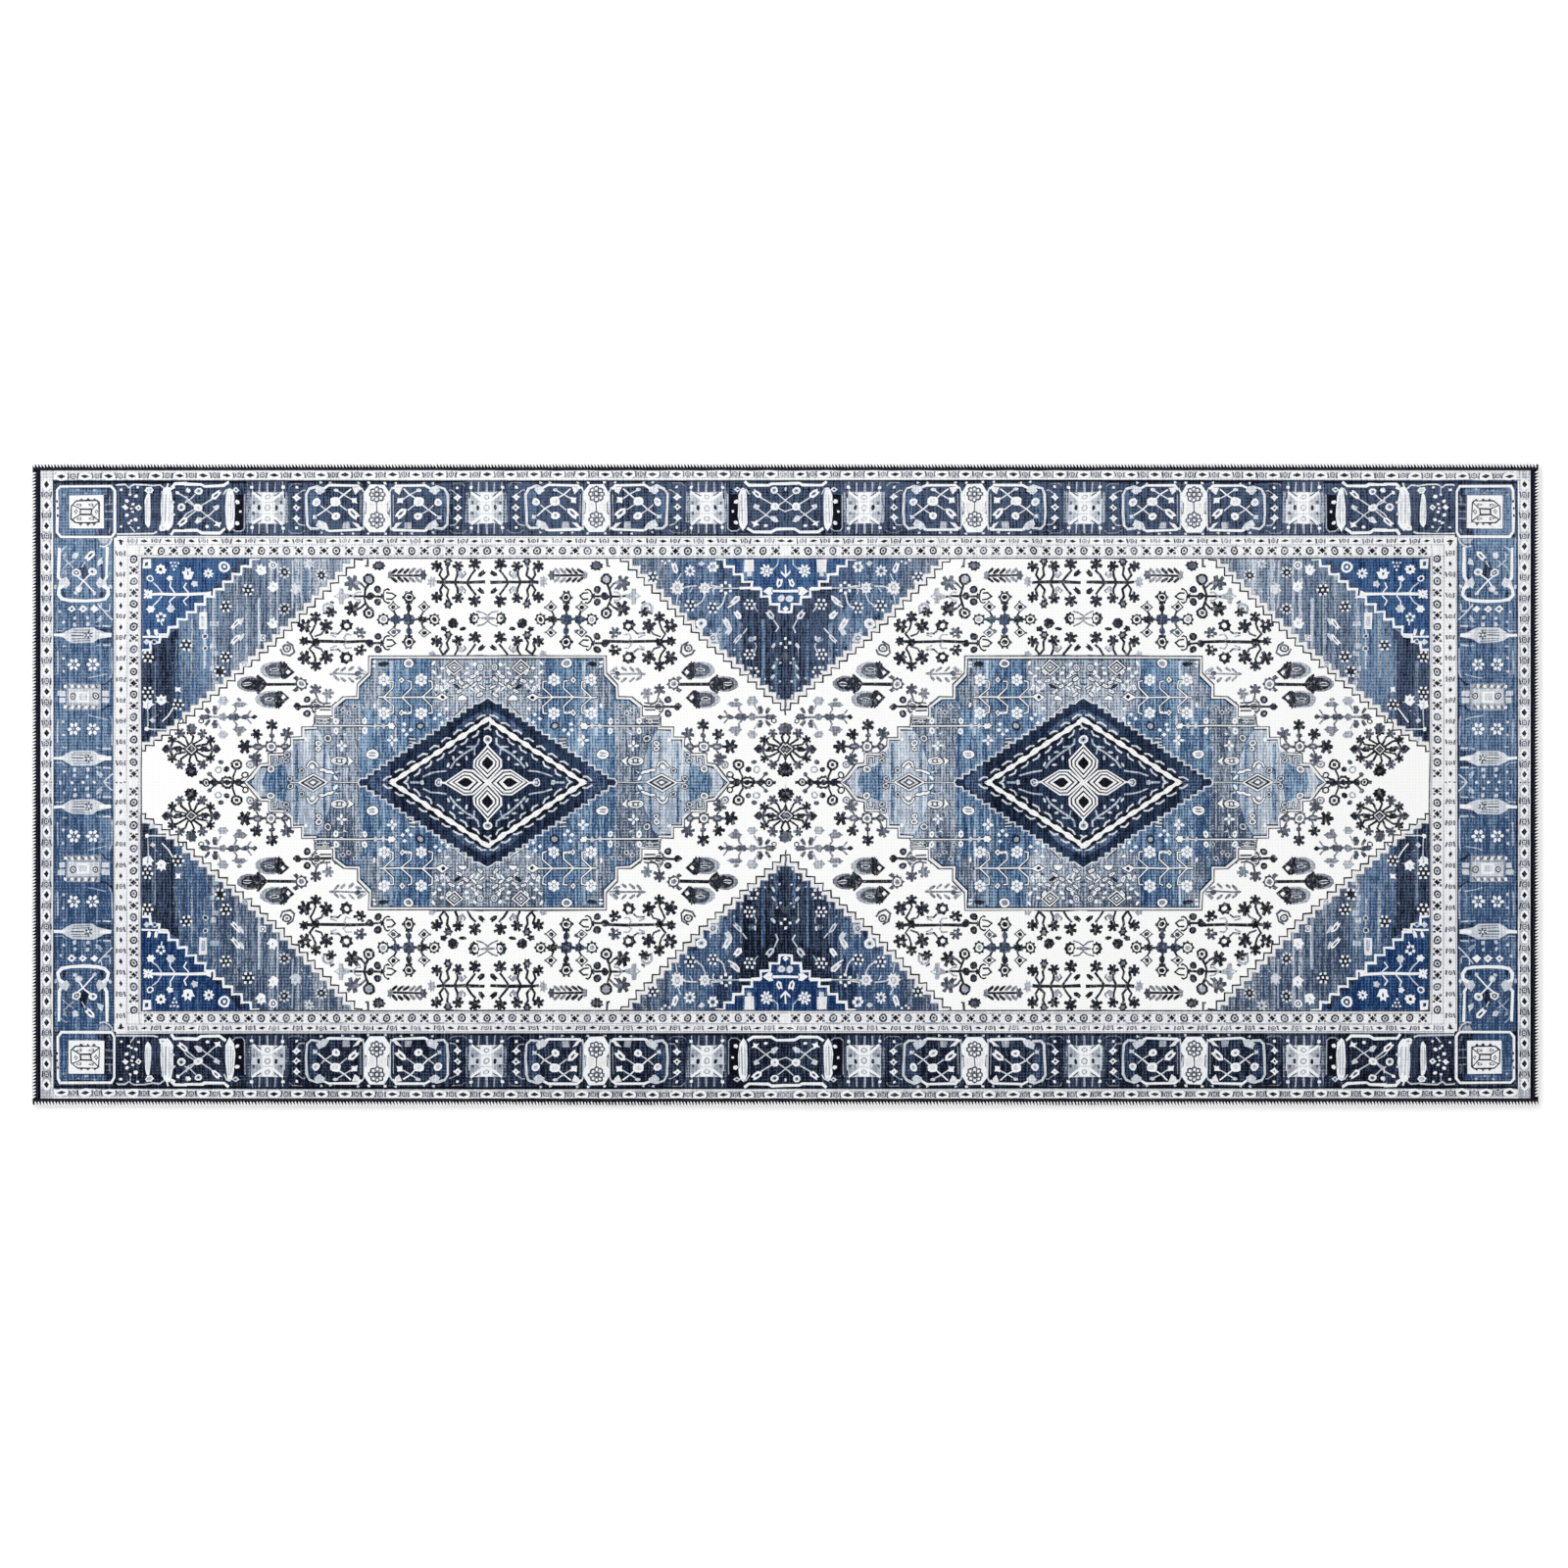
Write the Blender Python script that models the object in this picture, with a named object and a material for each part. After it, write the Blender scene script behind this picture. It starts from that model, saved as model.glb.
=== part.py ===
"""Runner rug: a printed low-pile face cloth over a felt layer and a rubber grip sheet.

The three layers are cut to one outline and bound on each side by a three-thread overlock:
an upper and a lower looper thread that wrap the edge, and a needle thread along their inner side.
The origin is on the floor at the middle of the rug. +X runs along the length and +Z points up.
"""

import math

import bpy
from mathutils import Matrix

# Overall size, binding included
RUG_LENGTH = 1.83
RUG_WIDTH = 0.78

# Layers, from the floor up
GRIP_THICKNESS = 0.0012
FELT_THICKNESS = 0.0012
FACE_THICKNESS = 0.0028

# Overlock binding
BAND_WIDTH = 0.0065        # how far the loopers reach in from the edge
BAND_WALL = 0.0012         # looper threads over the cut edge
BAND_TOP = 0.0008          # upper looper lying on the face
BAND_BOTTOM = 0.0006       # lower looper lying under the felt
NEEDLE_WIDTH = 0.0010
NEEDLE_HEIGHT = 0.0006

# Blank care label, caught in the seam of the back edge
LABEL_WIDTH = 0.030
LABEL_LENGTH = 0.055
LABEL_THICKNESS = 0.0003
LABEL_ROOT = 0.0025        # where the label starts, in from the edge
LABEL_FROM_END = 0.16      # its middle, in from the right-hand end
LABEL_POCKET = 0.0020      # room round the label in the grip sheet

GAP = 0.0003               # between any two pieces

# Heights that follow
FELT_BOTTOM = GRIP_THICKNESS + GAP
FACE_BOTTOM = FELT_BOTTOM + FELT_THICKNESS + GAP
FACE_TOP = FACE_BOTTOM + FACE_THICKNESS
BAND_LOW = FACE_TOP + GAP
BAND_HIGH = BAND_LOW + BAND_TOP
SPLIT = BAND_HIGH / 2      # where the two loopers interlock on the edge
LABEL_BOTTOM = FELT_BOTTOM - GAP - LABEL_THICKNESS

# Insets from the overall outline that follow
CLOTH_INSET = BAND_WALL + GAP
GRIP_INSET = BAND_WIDTH + GAP
NEEDLE_INSET = BAND_WIDTH + GAP
SHORT_RUN_INSET = NEEDLE_INSET + NEEDLE_WIDTH + GAP


def clear_scene():
    for obj in list(bpy.data.objects):
        bpy.data.objects.remove(obj)


def new_collection(name):
    collection = bpy.data.collections.new(name)
    bpy.context.scene.collection.children.link(collection)
    return collection


def make_material(name, colour, roughness):
    material = bpy.data.materials.new(name)
    material.use_nodes = True
    shader = material.node_tree.nodes["Principled BSDF"]
    shader.inputs["Base Color"].default_value = (*colour, 1.0)
    shader.inputs["Roughness"].default_value = roughness
    shader.inputs["Metallic"].default_value = 0.0
    return material


def put_in(obj, collection):
    for holder in list(obj.users_collection):
        holder.objects.unlink(obj)
    collection.objects.link(obj)


def make_box(name, size, centre, collection):
    """A box of this size, with its scale applied so that its object is unscaled."""
    bpy.ops.mesh.primitive_cube_add(size=1.0, location=centre)
    obj = bpy.context.object
    obj.name = name
    obj.data.name = name
    obj.data.transform(Matrix.Diagonal((*size, 1.0)))
    put_in(obj, collection)
    return obj


def make_layer(name, inset, bottom, thickness, material, collection):
    """A flat sheet, cut this far inside the rug's outline."""
    size = (RUG_LENGTH - 2 * inset, RUG_WIDTH - 2 * inset, thickness)
    layer = make_box(name, size, (0.0, 0.0, bottom + thickness / 2), collection)
    layer.data.materials.append(material)
    return layer


def cut_label_pocket(grip, label_x, cutters):
    """The grip sheet stops round the care label, so that the label lies flat."""
    pocket_width = LABEL_WIDTH + 2 * LABEL_POCKET
    pocket_end = RUG_WIDTH / 2 - LABEL_ROOT - LABEL_LENGTH - LABEL_POCKET
    pocket_depth = RUG_WIDTH / 2 - pocket_end
    size = (pocket_width, pocket_depth, 4 * GRIP_THICKNESS)
    centre = (label_x, pocket_end + pocket_depth / 2, GRIP_THICKNESS / 2)
    cutter = make_box("label_pocket_cutter", size, centre, cutters)
    cutter.hide_render = True
    cutter.display_type = "WIRE"
    cut = grip.modifiers.new("label_pocket", "BOOLEAN")
    cut.operation = "DIFFERENCE"
    cut.object = cutter


def make_label(label_x, material, collection):
    size = (LABEL_WIDTH, LABEL_LENGTH, LABEL_THICKNESS)
    centre_y = RUG_WIDTH / 2 - LABEL_ROOT - LABEL_LENGTH / 2
    centre = (label_x, centre_y, LABEL_BOTTOM + LABEL_THICKNESS / 2)
    label = make_box("care_label", size, centre, collection)
    label.data.materials.append(material)


def make_run(name, profile, run_length, edge_distance, turn, material, collection):
    """One thread run: profile is (inward, up) points, swept along one side of the rug."""
    outline = bpy.data.curves.new(name, "CURVE")
    outline.dimensions = "2D"
    outline.fill_mode = "BOTH"
    outline.extrude = run_length / 2
    spline = outline.splines.new("POLY")
    spline.points.add(len(profile) - 1)
    for point, (inward, up) in zip(spline.points, profile):
        point.co = (inward, up, 0.0, 1.0)
    spline.use_cyclic_u = True
    outline.materials.append(material)
    run = bpy.data.objects.new(name, outline)
    collection.objects.link(run)
    # The profile's X turns inward to +Y, its Y up to +Z, and the sweep runs along X.
    stand_up = Matrix(((0, 0, 1, 0), (1, 0, 0, 0), (0, 1, 0, 0), (0, 0, 0, 1)))
    to_edge = Matrix.Translation((0.0, -edge_distance, 0.0))
    run.matrix_world = Matrix.Rotation(turn, 4, "Z") @ to_edge @ stand_up


def upper_looper_profile():
    return [
        (0.0, SPLIT + GAP / 2),
        (BAND_WALL, SPLIT + GAP / 2),
        (BAND_WALL, BAND_LOW),
        (BAND_WIDTH, BAND_LOW),
        (BAND_WIDTH, BAND_HIGH),
        (0.0, BAND_HIGH),
    ]


def lower_looper_profile():
    return [
        (0.0, 0.0),
        (BAND_WIDTH, 0.0),
        (BAND_WIDTH, BAND_BOTTOM),
        (BAND_WALL, BAND_BOTTOM),
        (BAND_WALL, SPLIT - GAP / 2),
        (0.0, SPLIT - GAP / 2),
    ]


def needle_profile():
    inner = NEEDLE_INSET + NEEDLE_WIDTH
    top = BAND_LOW + NEEDLE_HEIGHT
    return [(NEEDLE_INSET, BAND_LOW), (inner, BAND_LOW), (inner, top), (NEEDLE_INSET, top)]


def bind_edges(material, collection):
    """Each side is overlocked on its own. The long runs reach the corners, and the short runs stop at them."""
    full_run = RUG_LENGTH
    short_run = RUG_WIDTH - 2 * SHORT_RUN_INSET
    sides = {
        "front": (0.0, full_run, RUG_WIDTH / 2),
        "right": (math.pi / 2, short_run, RUG_LENGTH / 2),
        "back": (math.pi, full_run, RUG_WIDTH / 2),
        "left": (-math.pi / 2, short_run, RUG_LENGTH / 2),
    }
    threads = {
        "upper_looper_thread": upper_looper_profile(),
        "lower_looper_thread": lower_looper_profile(),
        "needle_thread": needle_profile(),
    }
    for side, (turn, run_length, edge_distance) in sides.items():
        for thread, profile in threads.items():
            name = f"{side}_{thread}"
            make_run(name, profile, run_length, edge_distance, turn, material, collection)


def main():
    clear_scene()
    rug = new_collection("runner_rug")
    cutters = new_collection("cutters")

    printed = make_material("printed_pile", (0.33, 0.39, 0.50), 0.95)
    felt = make_material("felt", (0.72, 0.72, 0.71), 1.0)
    rubber = make_material("grip_rubber", (0.62, 0.62, 0.60), 0.75)
    thread = make_material("overlock_thread", (0.78, 0.80, 0.83), 0.85)
    satin = make_material("label_satin", (0.90, 0.90, 0.88), 0.45)

    label_x = RUG_LENGTH / 2 - LABEL_FROM_END
    grip = make_layer("rubber_grip_sheet", GRIP_INSET, 0.0, GRIP_THICKNESS, rubber, rug)
    cut_label_pocket(grip, label_x, cutters)
    make_layer("felt_layer", CLOTH_INSET, FELT_BOTTOM, FELT_THICKNESS, felt, rug)
    make_layer("printed_face", CLOTH_INSET, FACE_BOTTOM, FACE_THICKNESS, printed, rug)
    make_label(label_x, satin, rug)
    bind_edges(thread, rug)


main()
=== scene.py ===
import math

import bmesh
import bpy
import numpy as np
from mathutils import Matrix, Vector
from mathutils.geometry import delaunay_2d_cdt


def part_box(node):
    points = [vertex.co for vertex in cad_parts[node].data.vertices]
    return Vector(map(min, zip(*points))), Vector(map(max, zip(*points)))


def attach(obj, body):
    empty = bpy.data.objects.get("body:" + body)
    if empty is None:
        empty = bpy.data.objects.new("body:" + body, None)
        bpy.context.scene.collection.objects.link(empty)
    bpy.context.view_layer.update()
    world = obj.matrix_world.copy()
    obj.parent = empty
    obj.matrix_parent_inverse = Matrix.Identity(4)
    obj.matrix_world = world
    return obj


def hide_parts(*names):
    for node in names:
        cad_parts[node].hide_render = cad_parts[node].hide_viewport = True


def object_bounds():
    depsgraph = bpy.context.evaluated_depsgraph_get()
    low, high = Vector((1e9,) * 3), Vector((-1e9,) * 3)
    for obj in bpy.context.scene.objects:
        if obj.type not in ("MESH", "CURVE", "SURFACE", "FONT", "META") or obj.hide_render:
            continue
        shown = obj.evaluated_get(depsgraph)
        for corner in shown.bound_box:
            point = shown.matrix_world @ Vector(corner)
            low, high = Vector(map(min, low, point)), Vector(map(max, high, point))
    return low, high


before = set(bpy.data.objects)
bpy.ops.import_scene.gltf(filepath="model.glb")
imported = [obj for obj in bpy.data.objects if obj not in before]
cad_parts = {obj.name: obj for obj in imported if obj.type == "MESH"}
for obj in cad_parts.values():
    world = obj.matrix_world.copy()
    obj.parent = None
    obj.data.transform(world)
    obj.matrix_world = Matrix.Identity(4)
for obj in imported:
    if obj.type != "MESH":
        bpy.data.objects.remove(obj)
cadLow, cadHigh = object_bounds()
print("frame loaded:", len(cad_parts), "nodes")

# The printed design, drawn in millimetres from the rug's middle for one quarter of it.
design = {
    "halfLength": 913.5,
    "halfWidth": 388.5,
    "bayAxis": 361.5,          # the field mirrors about this line
    "fieldAxis": 2.5,          # the print sits this far off the middle, across the rug
    "guardOuter": (369.3, 381),
    "borderBand": (301.8, 369.3),
    "guardInner": (275, 301.8),
    "sideGuardOuter": (888.8, 904),
    "sideBorder": (815, 888.8),
    "sideGuardInner": (782.6, 815),
    "wobble": 0.35,
    "inkBleed": 0.35,
}

# Each ink is (deep colour, pale colour), as sRGB bytes. The pale one shows in the worn streaks.
inks = {
    "ivory": ((250, 251, 250), (253, 254, 253)),
    "white": ((240, 243, 246), (253, 253, 253)),
    "cream": ((228, 228, 230), (250, 249, 248)),
    "pearl": ((192, 199, 208), (238, 241, 245)),
    "silver": ((142, 149, 161), (204, 209, 217)),
    "ash": ((100, 106, 118), (166, 171, 182)),
    "smoke": ((54, 60, 72), (108, 114, 128)),
    "ink": ((18, 22, 30), (52, 56, 68)),
    "inkBlue": ((30, 40, 62), (84, 98, 124)),
    "black": ((8, 10, 16), (32, 34, 44)),
    "guardGrey": ((160, 164, 173), (232, 234, 238)),
    "guardWhite": ((230, 231, 235), (253, 253, 253)),
    "edgeNavy": ((5, 7, 14), (20, 24, 38)),
    "deepNavy": ((8, 14, 30), (56, 74, 104)),
    "navy": ((8, 14, 30), (82, 98, 126)),
    "navyBlue": ((22, 38, 66), (104, 126, 158)),
    "sideBlue": ((40, 66, 102), (134, 158, 186)),
    "royal": ((10, 40, 84), (78, 112, 156)),
    "steel": ((42, 58, 84), (142, 158, 180)),
    "haze": ((58, 72, 94), (188, 199, 214)),
    "mist": ((90, 104, 126), (214, 223, 234)),
    "fog": ((52, 62, 82), (176, 186, 202)),
    "pond": ((42, 72, 108), (160, 188, 214)),
    "lagoon": ((32, 60, 98), (132, 162, 194)),
    "frost": ((142, 156, 176), (224, 231, 239)),
}

shapes = []


def places(path):
    # A path is a list of points, or a string such as "3,4 5,6".
    if isinstance(path, str):
        return [tuple(float(n) for n in pair.split(",")) for pair in path.split()]
    return [tuple(p) for p in path]


def shift(path, x, y, sx=1, sy=1):
    # The path moved to x, y, and turned over or scaled by sx and sy.
    return [(x + sx * u, y + sy * v) for u, v in places(path)]


def poly(ink, points, ground=False):
    shapes.append((ink, places(points), ground))


def box(ink, x0, y0, x1, y1, ground=False):
    poly(ink, [(x0, y0), (x1, y0), (x1, y1), (x0, y1)], ground)


def oval(ink, x, y, rx, ry=None, sides=8, turn=0):
    ry = rx if ry is None else ry
    fewer = min(sides, max(4, round(1.75 * max(rx, ry))))       # a small spot needs few sides
    fill = math.sqrt(sides * math.sin(math.tau / sides) / (fewer * math.sin(math.tau / fewer)))
    rx, ry = rx * fill, ry * fill
    steps = [math.tau * (k + 0.5) / fewer for k in range(fewer)]
    c, s = math.cos(math.radians(turn)), math.sin(math.radians(turn))
    poly(ink, [(x + rx * math.cos(a) * c - ry * math.sin(a) * s,
        y + rx * math.cos(a) * s + ry * math.sin(a) * c) for a in steps])


def diamond(ink, x, y, w, h=None):
    h = w if h is None else h
    poly(ink, [(x - w, y), (x, y - h), (x + w, y), (x, y + h)])


def ring(ink, x, y, r, hollow, heart=None, ry=None, sides=10):
    ry = r if ry is None else ry
    oval(ink, x, y, r, ry, sides)
    oval(hollow, x, y, r * 0.62, ry * 0.62, max(6, sides - 2))
    if heart:
        oval(heart, x, y, r * 0.3, ry * 0.3, 6)


def line(ink, points, width):
    # A ribbon along the points, with mitred corners.
    points = places(points)
    left, right = [], []
    last = len(points) - 1
    for k, (x, y) in enumerate(points):
        before = points[max(k - 1, 0)]
        after = points[min(k + 1, last)]
        d1 = (x - before[0], y - before[1]) if k else (after[0] - x, after[1] - y)
        d2 = (after[0] - x, after[1] - y) if k < last else d1
        l1, l2 = math.hypot(*d1) or 1, math.hypot(*d2) or 1
        n1, n2 = (-d1[1] / l1, d1[0] / l1), (-d2[1] / l2, d2[0] / l2)
        mx, my = n1[0] + n2[0], n1[1] + n2[1]
        scale = width / max(mx * mx + my * my, 0.7)
        left.append((x + mx * scale, y + my * scale))
        right.append((x - mx * scale, y - my * scale))
    poly(ink, left + right[::-1])


def each(draw, ink, *spots):
    # The same shape in one ink, once for each place.
    for spot in spots:
        draw(ink, *spot)


def lines(ink, width, *paths):
    for path in paths:
        line(ink, path, width)


def polys(ink, *outlines):
    for outline in outlines:
        poly(ink, outline)


def spiky(ink, x, y, r, ry=None, points=8, depth=0.3, turn=0):
    ry = r if ry is None else ry
    points = min(points, max(4, round(1.05 * max(r, ry))))
    out = []
    for k in range(points * 2):
        a = math.radians(turn) + math.pi * k / points
        f = 1 if k % 2 == 0 else 1 - depth
        out.append((x + r * f * math.cos(a), y + ry * f * math.sin(a)))
    poly(ink, out)


def petals(ink, x, y, r, count=8, long=0.5, wide=0.2, turn=0, heart=None):
    # Loose petals round a heart, each a six-sided oval.
    for k in range(count):
        a = turn + 360 * k / count
        ca, sa = math.cos(math.radians(a)), math.sin(math.radians(a))
        mid = r * (1 - long)
        oval(ink, x + mid * ca, y + mid * sa, r * long, r * wide, 6, a)
    if heart:
        oval(heart, x, y, r * 0.3, None, 6)


def lobes(ink, x, y, r, hollow="ivory", count=6, turn=0):
    # A ring of round lobes with an open middle.
    dots(ink, x, y, r * 0.7, count, r * 0.36, turn, False)
    if hollow:
        oval(hollow, x, y, r * 0.42, None, 6)


def dots(ink, x, y, r, count=6, size=1.7, turn=0, heart=True, base=None):
    if base:
        oval(base, x, y, r + 0.6, None, 8)
    for k in range(count):
        a = math.radians(turn + 360 * k / count)
        oval(ink, x + r * math.cos(a), y + r * math.sin(a), size, None, 6)
    if heart:
        oval(ink, x, y, size * 0.95, None, 6)


def leafFlower(ink, x, y, r, toward=90, vein=None):
    # A tulip-like leaf: round at its stem, with three points the other way.
    outline = [(-0.75, 0), (-0.65, 0.6), (-0.1, 0.72), (0.35, 1), (0.42, 0.5), (1.05, 0.42), (0.72, 0)]
    outline += [(px, -py) for px, py in outline[1:-1]][::-1]
    c, s = math.cos(math.radians(toward)), math.sin(math.radians(toward))
    poly(ink, [(x + r * (px * c - py * s), y + r * (px * s + py * c)) for px, py in outline])
    if vein:
        oval(vein, x + 0.15 * r * c, y + 0.15 * r * s, r * 0.3, r * 0.18, 6, toward)


def bud(ink, x, y, r, toward, hollow=None, wide=0.5):
    # A half-open bud, a long oval with a notch at its far end.
    c, s = math.cos(math.radians(toward)), math.sin(math.radians(toward))
    outline = [(-1, 0), (-0.5, wide), (0.45, wide), (1, wide * 0.75), (0.72, 0), (1, -wide * 0.75),
        (0.45, -wide), (-0.5, -wide)]
    poly(ink, [(x + r * (px * c - py * s), y + r * (px * s + py * c)) for px, py in outline])
    if hollow:
        oval(hollow, x, y, r * 0.5, r * wide * 0.38, 6, toward)


def mirrored(start, axis, vertical=False):
    # Adds a copy of every shape from start on, turned over about a line.
    for ink, points, ground in shapes[start:]:
        flip = [(x, 2 * axis - y) if vertical else (2 * axis - x, y) for x, y in points]
        shapes.append((ink, flip, ground))


def outerGuard():
    low, high = design["guardOuter"]
    inner, outer = design["sideGuardOuter"]
    each(box, "guardGrey", (0, low, outer, high, True), (inner, 0, outer, high, True))
    for y in (high - 0.9, low + 1.6):
        box("white", 0, y - 0.7, 888, y + 0.7)
    for x in (inner + 1, outer - 1.2):
        box("white", x - 0.6, 0, x + 0.6, 368)
    for k in range(31):
        x, y = 17.8 + 28.7 * k, 376.6 - 3 * (k / 30.7) ** 2
        eyelet(x, y, 8.6, 5)
        if k < 30:
            guardKnot(x + 14.4, y, 3.6, 3.3, "smoke")
    guardKnot(3.4, 376.6, 3.6, 3.3)
    for k in range(15):
        eyelet(896.6, 12 + 25.15 * k, 4.9, 7.4)
        guardKnot(896.6, 25.15 * k - 0.5, 3.2, 3.6, "smoke")


def eyelet(x, y, w, h):
    # A white lozenge with a dark heart.
    oval("white", x, y, w, h, 10)
    diamond("ink", x, y, w * 0.66, h * 0.5 if w > h else h * 0.6)


def guardKnot(x, y, w, h, ink="ash"):
    # A ring between two crooks, and a seed in it.
    ring(ink, x, y, w, "guardWhite", None, h, 8)
    diamond(ink, x, y, 1.3)
    for sx in (-1, 1):
        line(ink, [(x + sx * (w + 2.4), y + h), (x + sx * (w + 1.4), y - h)], 2)


def innerGuard():
    low, high = design["guardInner"]
    inner, outer = design["sideGuardInner"]
    each(box, "guardWhite", (0, low, outer, high, True), (inner, 0, outer, high, True))
    for y in (300.4, 290.6, 277.4):
        box("silver", 0, y - 0.5, 800, y + 0.5)
    for x in (798.8, 813.6, 784.2):
        box("silver", x - 0.5, 0, x + 0.5, 290)
    for k in range(29):
        x = 5.2 + 28.62 * k
        if x < 812:
            diamond("ink", x, 295.6, 4.6, 2)
            if x + 14 < 810:
                guardKnot(x + 14.3, 295.6, 3.2, 2.9, "smoke" if k % 3 else "ash")
    for k in range(26):
        x = 12 + 30.44 * k
        crossSquare(x, 283.6)
        if k < 25:
            ringFlower(x + 15.2, 283.4, k)
            if k % 2:
                line("silver", shift("4,287.6 8,289 22,289 26,287.6", x, 0), 1.4)
    for k in range(10):
        y = 260 - 27.4 * k
        crossSquare(790.8, y)
        ringFlower(790.8, y + 13.7, k)
    for k in range(12):
        y = 13.2 + 25.45 * k
        if y < 295:
            diamond("ink", 806.6, y, 2.1, 3.8)
            guardKnot(806.6, y - 12.7, 2.8, 3, "smoke")
    line("smoke", "0,274.6 781.6,274.6 781.6,-4", 1.9)


def crossSquare(x, y):
    for sx in (-1, 1):
        for sy in (-1, 1):
            oval("smoke", x + sx * 3.7, y + sy * 3.4, 2.2, 2, 4)
    spiky("black", x, y, 4.2, 3.8, 4, 0.4)


def ringFlower(x, y, k):
    ink = ("ink", "smoke", "ink")[k % 3]
    ring(ink, x, y, 5, "pearl", ink, 5.2, 8)


def longBorder():
    low, high = design["borderBand"]
    box("navy", 0, low, design["sideBorder"][1], high, True)
    each(line, "edgeNavy", ([(0, high - 0.6), (888, high - 2.6)], 2.6), ([(0, low + 0.6),
        (816, low - 0.9)], 2.2))
    unit = len(shapes)
    squareOrnament(95.5)
    trioColumn(131.3)
    crossCartouche()
    mirrored(unit, 229.2)
    octagonPanel(229.4)
    for ink, points, ground in shapes[unit:]:
        if min(p[0] for p in points) > 119:
            shapes.append((ink, [(x + 266.3, y - 0.6) for x, y in points], ground))
    squareOrnament(628.4)
    end = len(shapes)
    openCartouche()
    for ink, points, ground in shapes[end:]:
        shapes.append((ink, [(725.6 - x, y - 0.5 - 0.8 * (x < 40)) for x, y in points], ground))
    for points in ([(716, 338), (721, 343), (736, 353.4)], [(714, 333), (729, 321.4)]):
        line("pearl", points, 1.6)
    lines("white", 3.3, "726,364.9 741,364.9 745.6,360.4", "712.6,308.4 726,308 742,308 745.4,303")
    bud("white", 731, 319, 7.4, -42, "navy", 0.45)
    ring("white", 733, 336.4, 5, "silver", "navy", 5, 8)
    each(oval, "white", (737.4, 354, 2.4, None, 6), (724, 356.6, 2.6, None, 6))
    cornerPanels()


def openCartouche():
    lines("white", 3.3, "-4,365.4 17,365.4 20.5,363.2 44,363.2 50,367.5", "-4,310 11,310 17,306.4 39,306.4 "
        "46,311")
    featherBar(51.8, 334.5, 5, 25.5)
    spiky("pearl", 58.6, 358, 4.6, 3.6, 4, 0.3)
    oval("navy", 58.6, 358, 1.7, 1.2, 6)
    line("pearl", "44,352 47.5,358.5 53,358", 1.6)
    polys("black", "43.5,306 47.5,310 49,304.6", "51,304.6 52.5,309 57,305.5")
    # crossed stems and their flowers
    lines("pearl", 1.5, "-1,351 -1,345 12,337 37,317", "-4,326 0,330.5 12,337 30,348")
    each(line, "pearl", ("-3,343 3,347 10,353", 1.3), ("15,322 27,329 36,337", 1.4))
    each(ring, "white", (12.8, 337.2, 5.6, "cream", "silver", 5, 8),
        (13.5, 356.8, 5, "silver", "navy", 4.4, 8))
    bud("white", 34.5, 352.5, 7.2, 38, "navy", 0.45)
    polys("pearl", "31,338.5 34.5,333 39,336.5 38,341 34,339.6", "8,319.5 12,318 17,320.5 17.5,325.6 "
        "12.5,326")
    spiky("white", 36.8, 316.8, 5.4, 5, 4, 0.55, 30)
    oval("white", 24, 314, 2.6, 2, 6)
    oval("pearl", -0.5, 358.5, 1.9, 3.2, 6)
    # the dark panel beside it
    box("edgeNavy", 57.5, 308, 68, 352)
    each(oval, "white", (60.2, 343.4, 2.9, 2.5, 8), (64, 331.4, 1.7, None, 6), (60.2, 317.8, 2.6, 2.4, 8))
    line("silver", "69.5,352 69.5,311 66,307.4 59,307.6 54.5,311", 1.3)
    line("haze", "73,366 73,306", 0.8)


def featherBar(x, y, w, h, upright=True):
    # A long pale bar with tapered ends and a grained heart.
    def at(u, v):
        return (x + u * w, y + v * h) if upright else (x + v * h, y + u * w)
    poly("white", [at(-0.62, 0.98), at(-0.9, 0.7), at(-1.15, 0.1), at(-1.1, -0.7), at(-0.7, -0.9),
        at(-0.1, -1.06), at(0.85, -0.8), at(1.15, -0.3), at(1, 0.6), at(0.55, 0.92), at(0, 1.02)])
    poly("pearl", [at(-0.7, 0.7), at(-0.78, -0.5), at(-0.3, -0.75), at(-0.2, 0.76)])
    polys("silver", [at(0.05, 0.72), at(0.12, -0.7), at(0.38, -0.62), at(0.34, 0.66)], [at(0.62, 0.4),
        at(0.68, -0.5), at(0.86, -0.5), at(0.82, 0.4)])


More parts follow.
